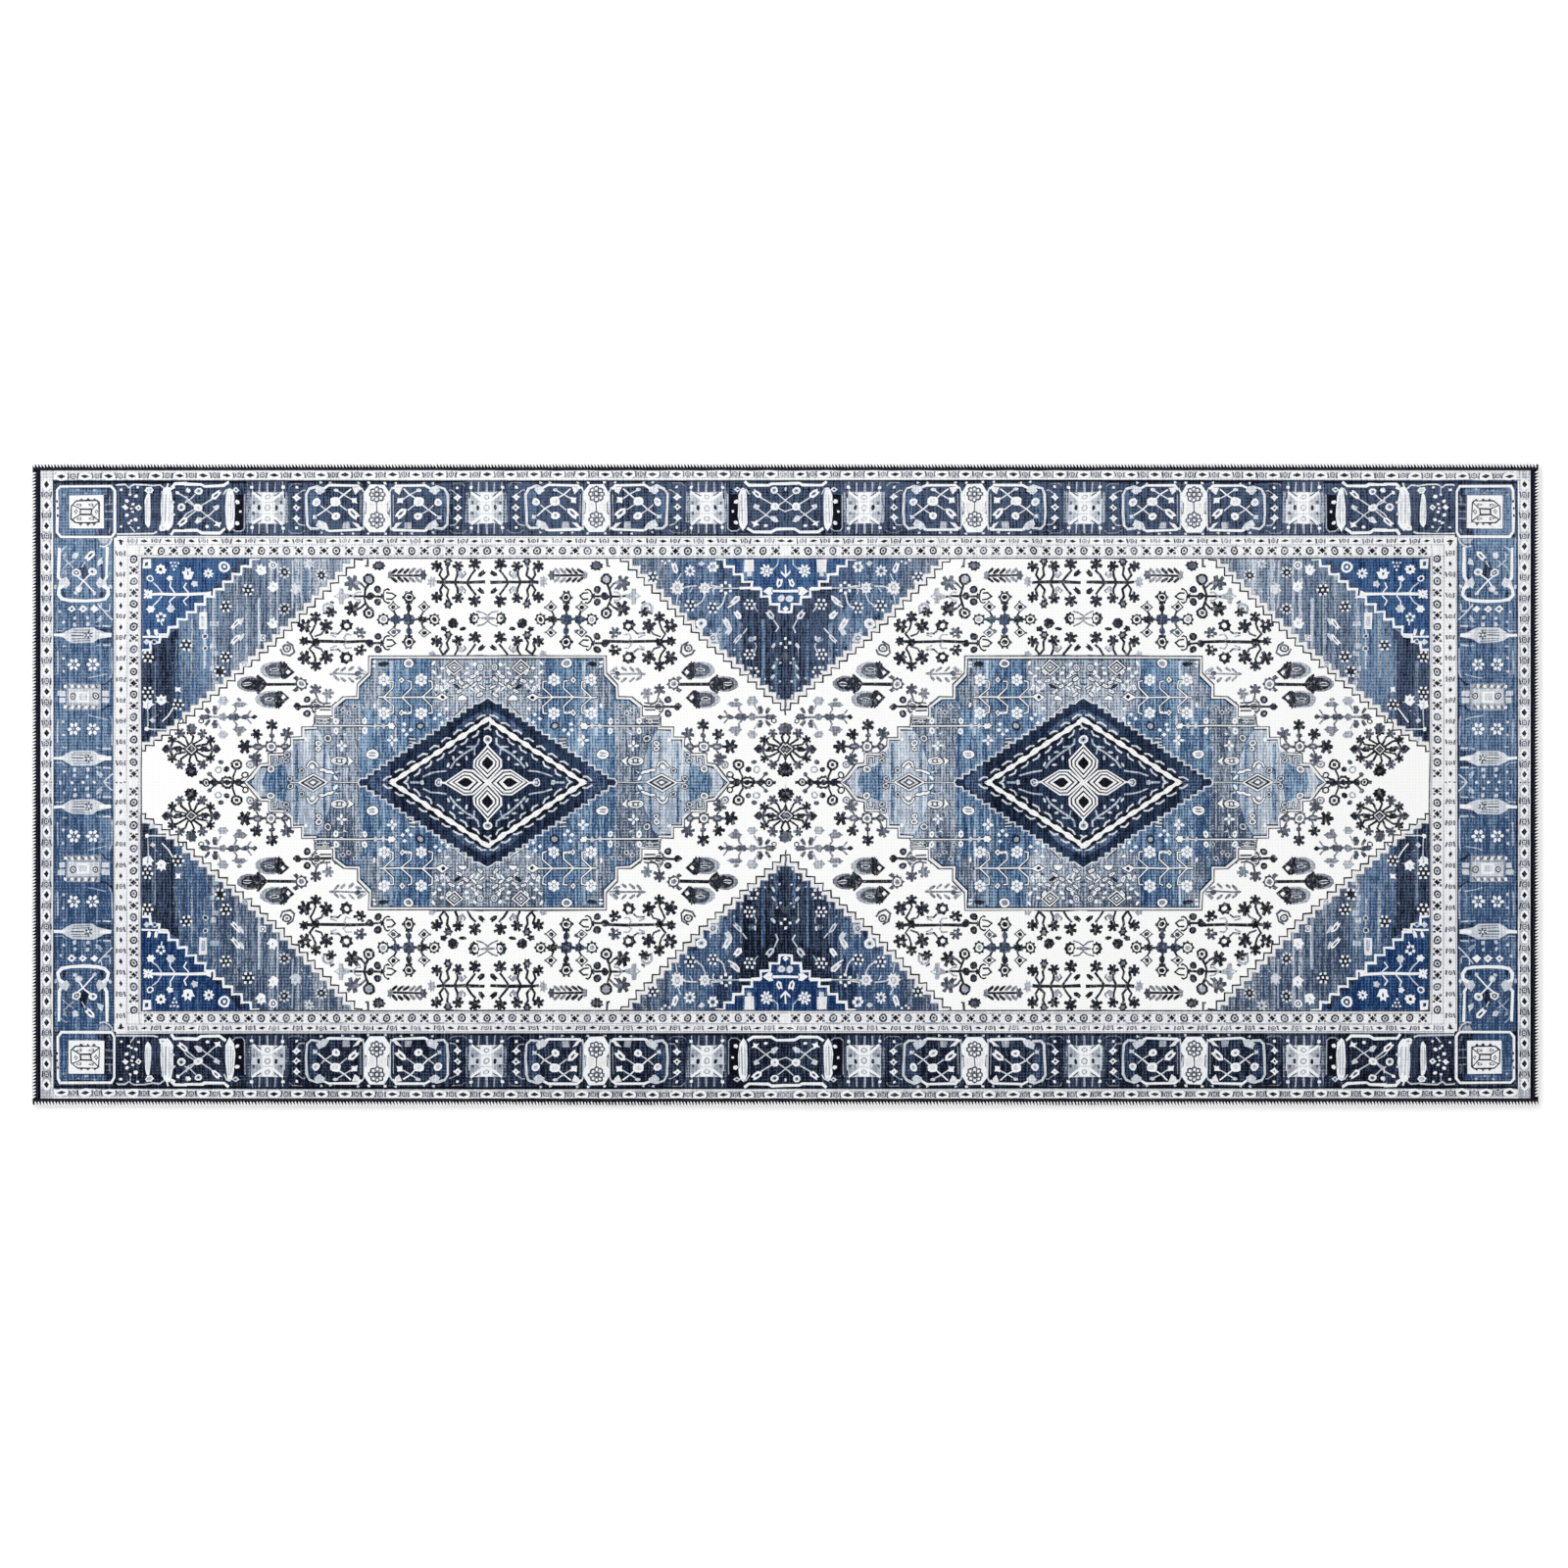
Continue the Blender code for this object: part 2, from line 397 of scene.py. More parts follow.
def squareOrnament(x):
    y = 335.5
    box("fog", x - 25, 318, x + 25, 355, True)
    each(box, "inkBlue", (x - 25, 355, x + 25, 367.6), (x - 25, 304, x + 25, 317))
    for dx, w in ((-18.5, 1.2), (-9.4, 1.8), (0.5, 2.6), (9.9, 1.8), (18.8, 1.2)):
        for low, high in ((355, 367), (304.6, 317)):
            box("silver", x + dx - w / 2, low, x + dx + w / 2, high)
    box("pearl", x - 21, 316.6, x + 20, 354.6, True)
    for sx in (-1, 1):
        polys("silver", shift("8,344 18.6,352 20,340 15,336", x, 0, sx),
            shift("8,327 18,319 20,330 14,333", x, 0, sx))
        poly("pearl", shift("6,340 20,340 17,335 20,330 6,331", x, 0, sx))
        oval("ink", x + sx * 10.6, y + 0.5, 2.2, 3.8, 6)
        each(oval, "smoke", (x + sx * 17, y + 6.5, 1.8, 2.4, 6), (x + sx * 17, y - 6.5, 1.8, 2.4, 6))
        lines("white", 2.4, shift("5,344.6 19,355", x, 0, sx), shift("5,326.4 18,316", x, 0, sx))
        lines("smoke", 1.4, shift("8,350 14.4,354", x, 0, sx), shift("8,321 14,317", x, 0, sx))
    for dy, h in ((13.2, 5.4), (-13.2, 5.6), (0, 6.4)):
        box("white", x - 6.6, y + dy - h, x + 6.6, y + dy + h)
        ring("silver", x, y + dy, 3.9, "cream", None, 3.1 if dy else 4.4, 8)
    for dx in (-18.8, 19.2):
        for dy in (25.2, -24.2):
            oval("white", x + dx, y + dy, 2.3, 2.1, 6)
    box("ink", x - 21.4, 347, x - 19.6, 354.4)


def trioColumn(x):
    poly("navy", shift("-6,366 6,366 8,361 8,309 6,305 -6,305 -8,309 -8,361", x, 0))
    lines("ash", 1, shift("-11,309 -6.5,305.6 5,305.6 10,309", x, 0), shift("-9,362 -5,366 7,366", x, 0))
    each(line, "silver", (shift("11,357 8,357.5 3,354 0,352", x, 0), 1.3), (shift("0,320 4,315.6 10,314.6", x,
        0), 1.5))
    for k, y in enumerate((348.8, 336.4, 323.8)):
        spiky("white", x, y, 5.2, 4.6, 4, 0.42)
        if k == 1:
            diamond("navy", x, y, 1.9, 1.8)
        else:
            oval("silver", x, y, 1.2, None, 6)
    for y in (361, 311.8):
        oval("white", x + 0.6, y, 1.9, None, 6)


def crossCartouche():
    # left lobe, then the wide part, as one outlined frame
    line("pearl", "163,316.5 158,311.4 149,310.6 144.4,315.5 143.6,330 143.6,352 147,359.2 156,362.2 "
        "161,357.5", 3)
    box("navyBlue", 146.4, 318, 158, 355)
    poly("navy", "166,357 170,361.4 209,361.4 211,355 211,318 207,312.5 171,312.5 167,318 156,330 156,345")
    lines("white", 2.9, "159.5,353 165,360.4 171,363.6 206,363.2 210.5,359", "161,318.5 168.5,309.6 "
        "172,308.4 209,309.4 211,312")
    line("pearl", "212.4,309 213.2,316 213.2,355 211,361", 1.8)
    line("silver", "209.4,318 209.4,352", 0.9)
    polys("pearl", "157,364 165,361 166,356 158,352 153,357", "163,309 171,311 167,318 158,322 155,315")
    polys("cream", "199,361 209,361.2 207,356 202.5,352", "199,319 206,311 210,311 206,317")
    poly("silver", "187,311 196,311 196,319 188,319")
    line("white", "157,326.6 173,339 184,348 197.6,359", 1.7)
    lines("pearl", 1.5, "179.6,357.6 190,351.4 201,345", "179,343 193,333")
    line("pearl", "160.6,339.6 166,334.6 177,327", 1.4)
    poly("white", "172.6,347 176,349 182,349 184.6,346 184.6,341.5 181,338.6 175.6,338.8 172.4,342")
    ring("pearl", 178.7, 343.7, 3.4, "cream", None, 2.6, 8)
    each(ring, "white", (155.4, 343, 4.9, "pearl", "silver", 5, 8), (179.2, 326, 5.4, "cream", "ash", 4.6, 8))
    spiky("white", 201.5, 345.2, 5, 4.6, 4, 0.4, 45)
    bud("white", 200, 329.5, 8, -42, "smoke", 0.5)
    oval("pearl", 179, 358, 3.4, 2.2, 6)
    spiky("pearl", 153.6, 325, 4, 3.4, 4, 0.45, 45)
    for x, y in ((161, 366.5), (172.5, 366.2), (206, 366.6), (161.5, 306), (187, 305), (200, 305.6)):
        spiky("pearl", x, y, 2.3, 1.9, 3, 0.4)


def octagonPanel(x):
    poly("white", shift("-15.6,354 -9,364.6 9,364.6 16,354 15.4,345 12.6,342 "
        "12.6,330 15.4,327 15.8,316 9,306.2 -9,306.2 -15.6,316 -15.2,327 -12.6,330 -12.6,342 -15.4,345", x,
        0))
    for sx in (-1, 1):
        poly("cream", shift("2.5,342 10,343 11,336 10,330 2.5,331", x, 0, sx))
        poly("pearl", shift("13.6,343 16,344 14.4,329.6 13,331", x, 0, sx))
        oval("white", x + sx * 10, 366.6, 1.9, 1.6, 6)
        oval("pearl", x + sx * 10.6, 304.6, 1.9, 1.6, 6)
    box("smoke", x - 0.7, 329, x + 0.7, 345)
    for y in (352.4, 321.4):
        lobes("smoke", x, y, 10, "smoke", 8)
        dots("white", x, y, 6.4, 8, 1.9)


def cornerPanels():
    featherBar(750.6, 335, 6.8, 26)
    each(line, "pearl", ("756,355 756,330 757,314", 2.6), ("754,359.6 759,363.4 768,362.6 778,364 "
        "791,364.2 796.5,360.6 801,364.2 810,363.6 814,362", 1.8))
    each(line, "white", ("741,361 747,357.5 749.5,350", 2.8), ("749,366 750.5,361", 1.6))
    ring("white", 755.5, 311.5, 6.4, "cream", "silver", 3.8, 8)
    for y in (342.6, 327.6):
        oval("pearl", 744.6, y, 4.4, 2.1, 8)
    each(line, "pearl", ("762,306.6 767,304.4 814,304", 2), ("789,306 795,313", 1.4))
    poly("inkBlue", "757,352 768,352 768,310 760,310")
    featherBar(773.8, 332.5, 3.4, 20)
    each(spiky, "white", (772, 357, 5.6, 4.8, 8, 0.2), (785.2, 336, 4.2, 3.8, 4, 0.3),
        (801, 336.4, 4.6, 4, 4, 0.35))
    ring("silver", 772, 357, 3, "pearl", None, 2.4, 8)
    line("silver", "794.5,362 795.5,351", 1.4)
    for x, y, r in ((788, 349.5, 2.9), (799, 344.2, 2.6), (792, 340.2, 2), (793, 335, 1.7), (792, 330.6, 2),
            (799.5, 326.8, 2.5), (788, 321.2, 2.6), (796.6, 317.6, 2.2), (786, 360.6, 1.8),
            (806.4, 357.6, 2.2), (785.4, 312, 1.8), (806.4, 312.4, 1.8), (795.4, 351.6, 1.8),
            (793.5, 320, 1.8)):
        oval("white", x, y, r, r * 0.82, 6)
    diamond("navy", 785.2, 336, 1.5)


def cornerSquare():
    box("navy", 812, 299.6, 886.4, 366, True)
    each(box, "sideBlue", (870, 303, 883, 360), (834, 303, 883, 311), (824, 351.6, 883, 358.6))
    line("white", "817.6,300.8 814.2,306 814.2,356 818,362 880,362 883.4,357 883.4,306 879,300.8 "
        "817.6,300.8", 3)
    box("white", 827, 310.6, 869.6, 351)
    poly("ink", "832,318.6 832,342.6 835.6,345.4 860,345 867.6,338.4 868,322 862,317 838,317")
    poly("white", "833.6,319.8 833.6,341.6 836.2,343.8 859.4,343.4 866.2,337.6 866.4,322.8 861,318.6 "
        "838.6,318.4")
    for x, y in ((833.4, 342), (833.4, 320), (865.6, 339), (865.6, 321.6)):
        line("smoke", [(842 if x < 850 else 855.6, 334.6 if y > 330 else 327.6), (x, y)], 1.5)
    box("ink", 841.6, 326.6, 856.4, 335.4)
    box("cream", 843.4, 328.6, 854.6, 333.4)
    for x, y, w in ((842, 339.5, 4.4), (856.6, 339.5, 4.4), (842, 322.6, 4.6), (857, 322.8, 4.2)):
        spiky("smoke", x, y, w, 2.2, 3, 0.3)
        oval("white", x, y, w * 0.4, 0.9, 6)
    for x in (836.4, 861):
        spiky("smoke", x, 331, 2.6, 3.6, 4, 0.4)
        oval("white", x, 331, 1, 1.4, 6)
    for x in (838.6, 846.4, 854.6):
        polys("smoke", shift("-2.6,317 2.6,317 0,313.6", x, 0), shift("-2.2,345.2 2.2,345.2 0,347.6", x, 0))
    for y in (340, 331.4, 322.4):
        box("ash", 816.4, y - 0.9, 826, y + 0.9)
        diamond("edgeNavy", 883.4, y + 4, 1.4, 2.2)
    for y in (350.6, 346, 311):
        line("ash", [(818.6, y), (821, y - 6)], 1.4)
    for x, y in ((838, 357.6), (848, 353.6), (858, 357), (876, 351)):
        spiky("silver", x, y, 2.2, 2, 4, 0.4)


def shortBorder():
    inner, outer = design["sideBorder"]
    box("sideBlue", inner, 0, outer, 300, True)
    each(line, "navy", (shift("-1,300 -1,-4", outer, 0), 2.4), (shift("1,300 1,-4", inner, 0), 2.2))
    line("pond", "885.6,364 885.6,270", 1.8)
    endCartouche()
    start = len(shapes)
    trioRow(213)
    barRow(181)
    flowerPair(145.6)
    for ink, points, ground in shapes[start:]:
        shapes.append((ink, [(x, 213 - y) for x, y in points], ground))
    paleBlock(106.4)


def endCartouche():
    line("pearl", "817,303 817.6,296 821,291.4 827,287.6 832,289.6", 1.8)
    poly("silver", "820,298.6 834,298.8 831,293 824,292")
    each(line, "white", ("823.2,288 823.6,252 828,245.6", 3.6), ("881.4,287 881.8,252 878,245.6", 3.4))
    polys("pearl", "833,252 836.4,244 833.6,238 826,240.6 821.6,237 825,247", "872.4,252 868.4,244 "
        "872.6,238 879,240.6 883.6,237 880.4,248")
    line("white", "829,241 822.6,238 821.6,230.6 826,224.8 834,223.2 850,222.4 868,223 878,224.8 "
        "882.4,230.6 881.6,238 876,241", 3.8)
    poly("navyBlue", "826.6,276 831,270 831,250 827,248")
    polys("navy", "828,236 831.6,233 833,226.6 827,228.6", "872.6,226 877.6,228.6 877,236 873.4,232",
        "851,249 844,256 850,268 855,270 857,258")
    lines("white", 1.8, "838.4,233 852,247.4 859,252.6", "843.6,255 852,247.4 857.4,240")
    line("pearl", "850,271 853.6,263.6", 1.4)
    each(line, "frost", ("864,263 869.6,268.4 877,275", 1.5), ("863,272 871.6,267 878,260", 1.4))
    each(ring, "white", (840.6, 258.2, 5.4, "pearl", "navy", 4.6, 10),
        (860.4, 257, 5.8, "smoke", "pearl", 5, 6))
    bud("white", 843.6, 277.8, 7.2, -46, "navy", 0.5)
    polys("pearl", "858,281 864,282 865.6,276 862,274 858.6,276", "828,268 835,265 834,272 829,276")
    poly("silver", "872,282 878,279 874,274")
    ring("pearl", 857.4, 237.4, 4.6, "cream", None, 3.8, 8)
    each(oval, "pearl", (861.6, 232.4, 2.6, 2.2, 6), (838.6, 232, 2.6, 2.4, 6), (819, 240, 2.2, 2.6, 6))
    oval("haze", 875.6, 257, 3, 4.6, 8)
    oval("frost", 885.8, 240, 1.9, 2.8, 6)
    line("frost", "872,289 877,286 880,282", 1.5)
    for x, y in ((842, 292), (862, 293), (869, 286), (885, 295), (819, 269), (820, 256)):
        oval("pond", x, y, 2.6, 1.8, 6)


def trioRow(y):
    for k, x in enumerate((838.6, 852.6, 866.2)):
        spiky("white", x, y, 5.4, 4.6, 4, 0.32)
        if k:
            diamond("smoke" if k > 1 else "silver", x, y, 2.2, 1.9)
    for x, dy, r in ((847, -10, 2.4), (862.4, -11, 2.2), (846.4, -18.4, 2.7), (862.4, -18.6, 2.8),
            (875.6, -15.6, 2), (880, -3, 1.8)):
        spiky("pearl", x, y + dy, r, r * 1.1, 4, 0.2, 45)
    line("frost", shift("830,-8 833,-11.6 836,-13.4", 0, y), 2.2)
    lines("pearl", 1.4, [(819.4, y + 6), (820, y - 1)], [(829.6, y + 8), (831, y + 1)])
    line("pearl", shift("816.6,-13 823,-7 832,3 834,6", 0, y), 1.7)
    box("pearl", 820, y - 3.2, 828, y - 1.4)


def barRow(y):
    poly("navyBlue", shift("818,10 836,10 836,-9 818,-9", 0, y))
    poly("pearl", shift("818,2.6 826,3.4 835,7.4 840,9.4 866,9 873,5 878,2.2 "
        "888,1.6 888,-1.6 878,-2 872,-6 866,-8.8 840,-8.8 835,-5 826,-3.4 818,-1.8", 0, y))
    each(box, "white", (874, y - 1.5, 887.6, y + 1.7), (818.4, y - 2, 832, y + 2.4))
    for dy in (-6.6, -4, 3.4, 6.2):
        box("ash", 850 - abs(dy), y + dy - 0.6, 868 - abs(dy) * 0.5, y + dy + 0.6)
    box("smoke", 851, y - 0.7, 866, y + 0.7)
    petals("smoke", 845.6, y + 0.4, 5.6, 6, 0.42, 0.2, 30)
    oval("white", 845.6, y + 0.4, 1.6, None, 6)
    for dy in (11.4, -11.8):
        box("pearl", 818.6, y + dy - 0.9, 828.6, y + dy + 0.9)
        box("frost", 830.6, y + dy - 0.8, 836.6, y + dy + 0.6)
    each(line, "frost", (shift("829,21 832,18 836.6,16", 0, y), 2.2), ([(872.6, y - 13),
        (877, y - 13.4)], 2), (shift("874,9 878,5.4 886,6", 0, y), 1.2))


def flowerPair(y):
    for x in (840.6, 863.6):
        petals("white", x, y, 8.2, 6, 0.35, 0.26, 0)
        diamond("smoke", x, y, 2, 3)
        diamond("pearl", x, y, 0.9, 1.5)
    each(line, "frost", (shift("817.4,20 817.4,-10 819.6,-16", 0, y), 1.6), ([(883, y + 17),
        (883, y - 12)], 1.8), (shift("824,-12 838,-15 846,-16.4", 0, y), 1.4))
    for dy in (7.4, -8.4):
        oval("pearl", 876.2, y + dy, 1.9, None, 6)
    line("pond", shift("821,-2 829,-4 833,-8", 0, y), 2)


def paleBlock(y):
    box("silver", 831, y - 16, 872.6, y + 16)
    box("pearl", 833, y - 8, 870.6, y + 9)
    box("white", 845, y - 6.6, 860, y + 6.4)
    box("pearl", 847.6, y - 4, 857.6, y + 3.8)
    for x in (837.2, 864.6):
        ring("smoke", x, y + 1, 4, "cream", "smoke", 4.4, 8)
    for sx in (-1, 1):
        box("pearl", 852 + sx * 30.2 - 1, y + 1.5, 852 + sx * 30.2 + 1, y + 7)
    for y0, y1 in ((y + 0.9, y + 7.4), (y - 7.4, y - 1)):
        each(box, "pearl", (820.6, y0, 829.6, y1), (874, y0, 881, y1))
    for k in range(5):
        x = 835 + 8.4 * k
        lines("smoke", 1.5, shift("0,10.6 3,15", x, y), shift("0,-10.6 3,-15", x, y))
        each(oval, "white", (x + 5.4, y + 12.6, 1.9, 2.4, 6), (x + 5.4, y - 12.6, 1.9, 2.4, 6))
    lines("navy", 2.4, shift("817,23 826,15 831,16", 0, y), shift("817,-10 824,-12 830,-18", 0, y))


# The field is one bay, drawn to the left of its own middle line, then mirrored over it.
def field():
    box("navy", -70, -6, 781.6, 276, True)
    triangleGround()
    cornerGround()
    for grow, ink in ((5.2, "ash"), (4.2, "cream"), (0.5, "ink"), (-1.2, "ivory")):
        left = outerStairs(grow, 3.5)
        right = [(2 * design["bayAxis"] - x, y) for x, y in outerStairs(grow, -3.5)]
        poly(ink, [(left[0][0], 290)] + left + [(-70, -20), (790, -20)] + right[::-1] + [(right[0][0], 290)],
            True)
    start = len(shapes)
    ivoryTopGroup()
    ivoryTrees()
    ivoryLowGroup()
    crossFlower()
    bleed(start, design["inkBleed"])
    mirrored(start, design["bayAxis"])
    centreTriangle()
    farCorner()
    start = len(shapes)
    medallionGround()
    medallionMotifs()
    medallionHeart()
    mirrored(start, design["bayAxis"])


def widened(points, amount):
    count = len(points)
    area = sum(points[i - 1][0] * points[i][1] - points[i][0] * points[i - 1][1] for i in range(count))
    wider = []
    for i, (x, y) in enumerate(points):
        (ax, ay), (bx, by) = points[i - 1], points[(i + 1) % count]
        one, two = math.hypot(x - ax, y - ay) or 1, math.hypot(bx - x, by - y) or 1
        mx = (y - ay) / one + (by - y) / two
        my = -(x - ax) / one - (bx - x) / two
        push = math.copysign(2 * amount, area) / max(mx * mx + my * my, 1.2)
        wider.append((x + mx * push, y + my * push))
    return wider


def bleed(start, amount):
    # Dark ink spreads a little past its outline.
    for k in range(start, len(shapes)):
        ink, points, ground = shapes[k]
        if ink not in ("ivory", "cream", "pearl"):
            shapes[k] = (ink, widened(points, amount), ground)


def halo(start, ink, amount):
    # Gives the pale motifs from start on a dark outline.
    pale = [points for name, points, _ in shapes[start:] if name in ("white", "pearl", "cream") and max(p[0]
        for p in points) - min(p[0] for p in points) > 6]
    shapes[start:start] = [(ink, widened(points, amount), False) for points in pale]


def grit(low, high, count, size=2.2, names=("smoke", "white", "ash", "pearl")):
    # Small worn bits of ink, spread evenly over a rectangle.
    for k in range(count):
        u, v = (k * 0.618034 + 0.31) % 1, (k * 0.754878 + 0.17) % 1
        x, y = low[0] + u * (high[0] - low[0]), low[1] + v * (high[1] - low[1])
        w, lean = size * (0.8 + 0.9 * ((k * 0.37) % 1)), size * (k % 5 - 2) / 2
        poly(names[k % len(names)], [(x - w, y + lean), (x + lean, y - w * 0.8), (x + w, y)])


def openTulip(ink, x, y, r):
    # An outlined tulip that opens to the right.
    line(ink, shift("-0.9,0.2 -0.6,0.9 -0.15,1.15 0.15,1", x, y, r, r), 1.3)
    line(ink, shift("-0.9,-0.2 -0.6,-0.9 -0.15,-1.15 0.15,-1", x, y, r, r), 1.3)
    line(ink, shift("-0.3,0.52 0.5,0.5 1.1,0 0.5,-0.5 -0.3,-0.52", x, y, r, r), 1.4)
    poly(ink, shift("-1.25,0.5 -0.85,0.2 -0.85,-0.2 -1.25,-0.5", x, y, r, r))


def seedHead(ink, x, y, r, core):
    # A ring with two little horns above and below, and a dark seed in it.
    for sy in (-1, 1):
        for sx in (-1, 1):
            oval(ink, x + sx * 2.9, y + sy * (r + 0.2), 1.3, 1.5, 6)
    for sx in (-1, 1):
        oval(ink, x + sx * (r + 0.4), y, 1.4, 1.5, 6)
    ring(ink, x, y, r, "ivory", None, r, 10)
    oval(ink, x, y, r * 0.84, None, 8)
    oval("ivory", x, y, r * 0.72, None, 8)
    oval(core, x, y, 3.1, 2.7, 8)


def diamondRing(ink, x, y, core, tips=True):
    diamond(ink, x, y, 7.2, 6.2)
    diamond("ivory", x, y, 5.4, 4.6)
    oval(core, x, y, 2.6, 2.4, 8)
    if tips:
        oval(ink, x + 6.8, y, 1.3, 1.1, 6)
        oval(ink, x, y + 6.2, 1.1, 1.2, 6)


def mapleLeaf(ink, x, y, r, toward):
    c, s = math.cos(math.radians(toward)), math.sin(math.radians(toward))
    outline = [(-0.95, 0), (-0.5, 0.28), (-0.72, 0.86), (-0.28, 1.06), (0.08, 0.44), (0.42, 1.06),
        (0.84, 0.82), (0.56, 0.34), (1.16, 0.2)]
    outline += [(px, -py) for px, py in outline[1:]][::-1]
    poly(ink, [(x + r * (px * c - py * s), y + r * (px * s + py * c)) for px, py in outline])


def spikyRing(ink, x, y, r, core):
    spiky(ink, x, y, r, r, 8, 0.24)
    oval("ivory", x, y, r * 0.62, None, 8)
    oval(core, x, y, r * 0.36, None, 6)


def ivoryTopGroup():
    # below the long guard, beside the stepped corner
    spiky("ink", 229.4, 265.4, 8.2, 6.2, 9, 0.22)
    oval("smoke", 229.4, 265.4, 4.8, 3, 8)
    each(line, "smoke", ("216.4,275 216.4,264", 2), ("216.4,265 213.4,264.4", 1.6))
    lines("ink", 2.3, "212,228 213.5,236 217,243", "212,228 213.5,221 217,214", "190,228.4 236,228.4")
    poly("silver", "175.6,228.4 181,232 181.6,238 186,238 187,232 194,230.4 194,226.4 187,224.6 186,219 "
        "181.6,219 181,225")
    oval("cream", 180, 228.4, 2.4, 1.5, 6)
    for y in (233.4, 223.4):
        line("silver", [(198, 228), (203, y), (208, y)], 1.4)
    each(ring, "ink", (217.6, 249, 7.4, "ivory", None, 7.2, 8), (217.4, 208, 7.2, "ivory", None, 7.2, 8))
    oval("silver", 217.6, 249, 4, None, 8)
    each(oval, "ink", (217.4, 208, 2.3, None, 6), (219.3, 228.6, 4.4, 4.6, 8))
    for y in (236.6, 221.4):
        oval("ink", 228.2, y, 4.5, 4.4, 8)
        oval("smoke", 228.2, y, 1.7, None, 6)
    openTulip("ink", 241.5, 228.6, 7.6)
    for y, sy, ink in ((244.6, 1, "smoke"), (213.2, -1, "ink")):
        line(ink, shift("213,-6 208,-1 203,0", 0, y, 1, sy), 2)
        mapleLeaf(ink, 198.4, y, 8.6, 180 + sy * 8)
        oval("ash" if sy > 0 else "smoke", 202, y, 3.6, 2.4, 6)
        line("smoke", [(203, y - sy * 5), (207, y - sy * 8)], 1.6)
    ring("silver", 168, 213.6, 7.6, "ivory", "ash", 7, 8)
    each(line, "smoke", ("171,222 175,219.6", 2), ("162,207.6 170,209", 1.8))
    mapleLeaf("ink", 172, 209.4, 5.6, 235)
    spiky("silver", 152.6, 198.6, 3.4, 3, 5, 0.4)
    # the floret
    line("inkBlue", "242,200.2 292,200.2", 2.6)
    lines("ink", 1.9, "251,204 247.6,211", "280.6,204 284.4,211", "280.6,196 284.4,189")
    line("ink", "266,221 266,179", 2.2)
    line("smoke", "251,196 247.6,189", 1.9)
    each(spiky, "inkBlue", (266, 200.2, 8, 7.6, 8, 0.16), (250.4, 200.2, 6.6, 5.4, 8, 0.24))
    spiky("ink", 282.6, 200.2, 7.2, 4.8, 8, 0.3)
    each(spikyRing, "ink", (235, 200.2, 7.8, "silver"), (297, 200.2, 7.6, "ink"))
    each(seedHead, "ink", (266, 227, 6.4, "black"), (266, 172.8, 6.6, "black"))
    oval("ink", 266, 214.4, 3.5, 4.6, 8)
    oval("inkBlue", 266, 186.4, 3.6, 4.8, 8)
    each(diamondRing, "smoke", (247, 215.4, "black"), (284.4, 215.4, "black"), (247.4, 184.6, "smoke"),
        (284.6, 184.4, "black"))
    line("smoke", "252,188 256,186", 1.4)
    # the sprig above the floret
    line("ink", "241,253.4 281,253.8", 2.2)
    for k in range(5):
        for sy in (-1, 1):
            bud("ink" if k < 3 else "ash", 248.6 + 7.2 * k, 253.6 + sy * 5.2, 5.2, sy * 38, None, 0.28)
    spiky("smoke", 283.6, 254, 4.8, 6.8, 6, 0.34)
    spiky("ash", 243, 254, 3, 6, 5, 0.4)


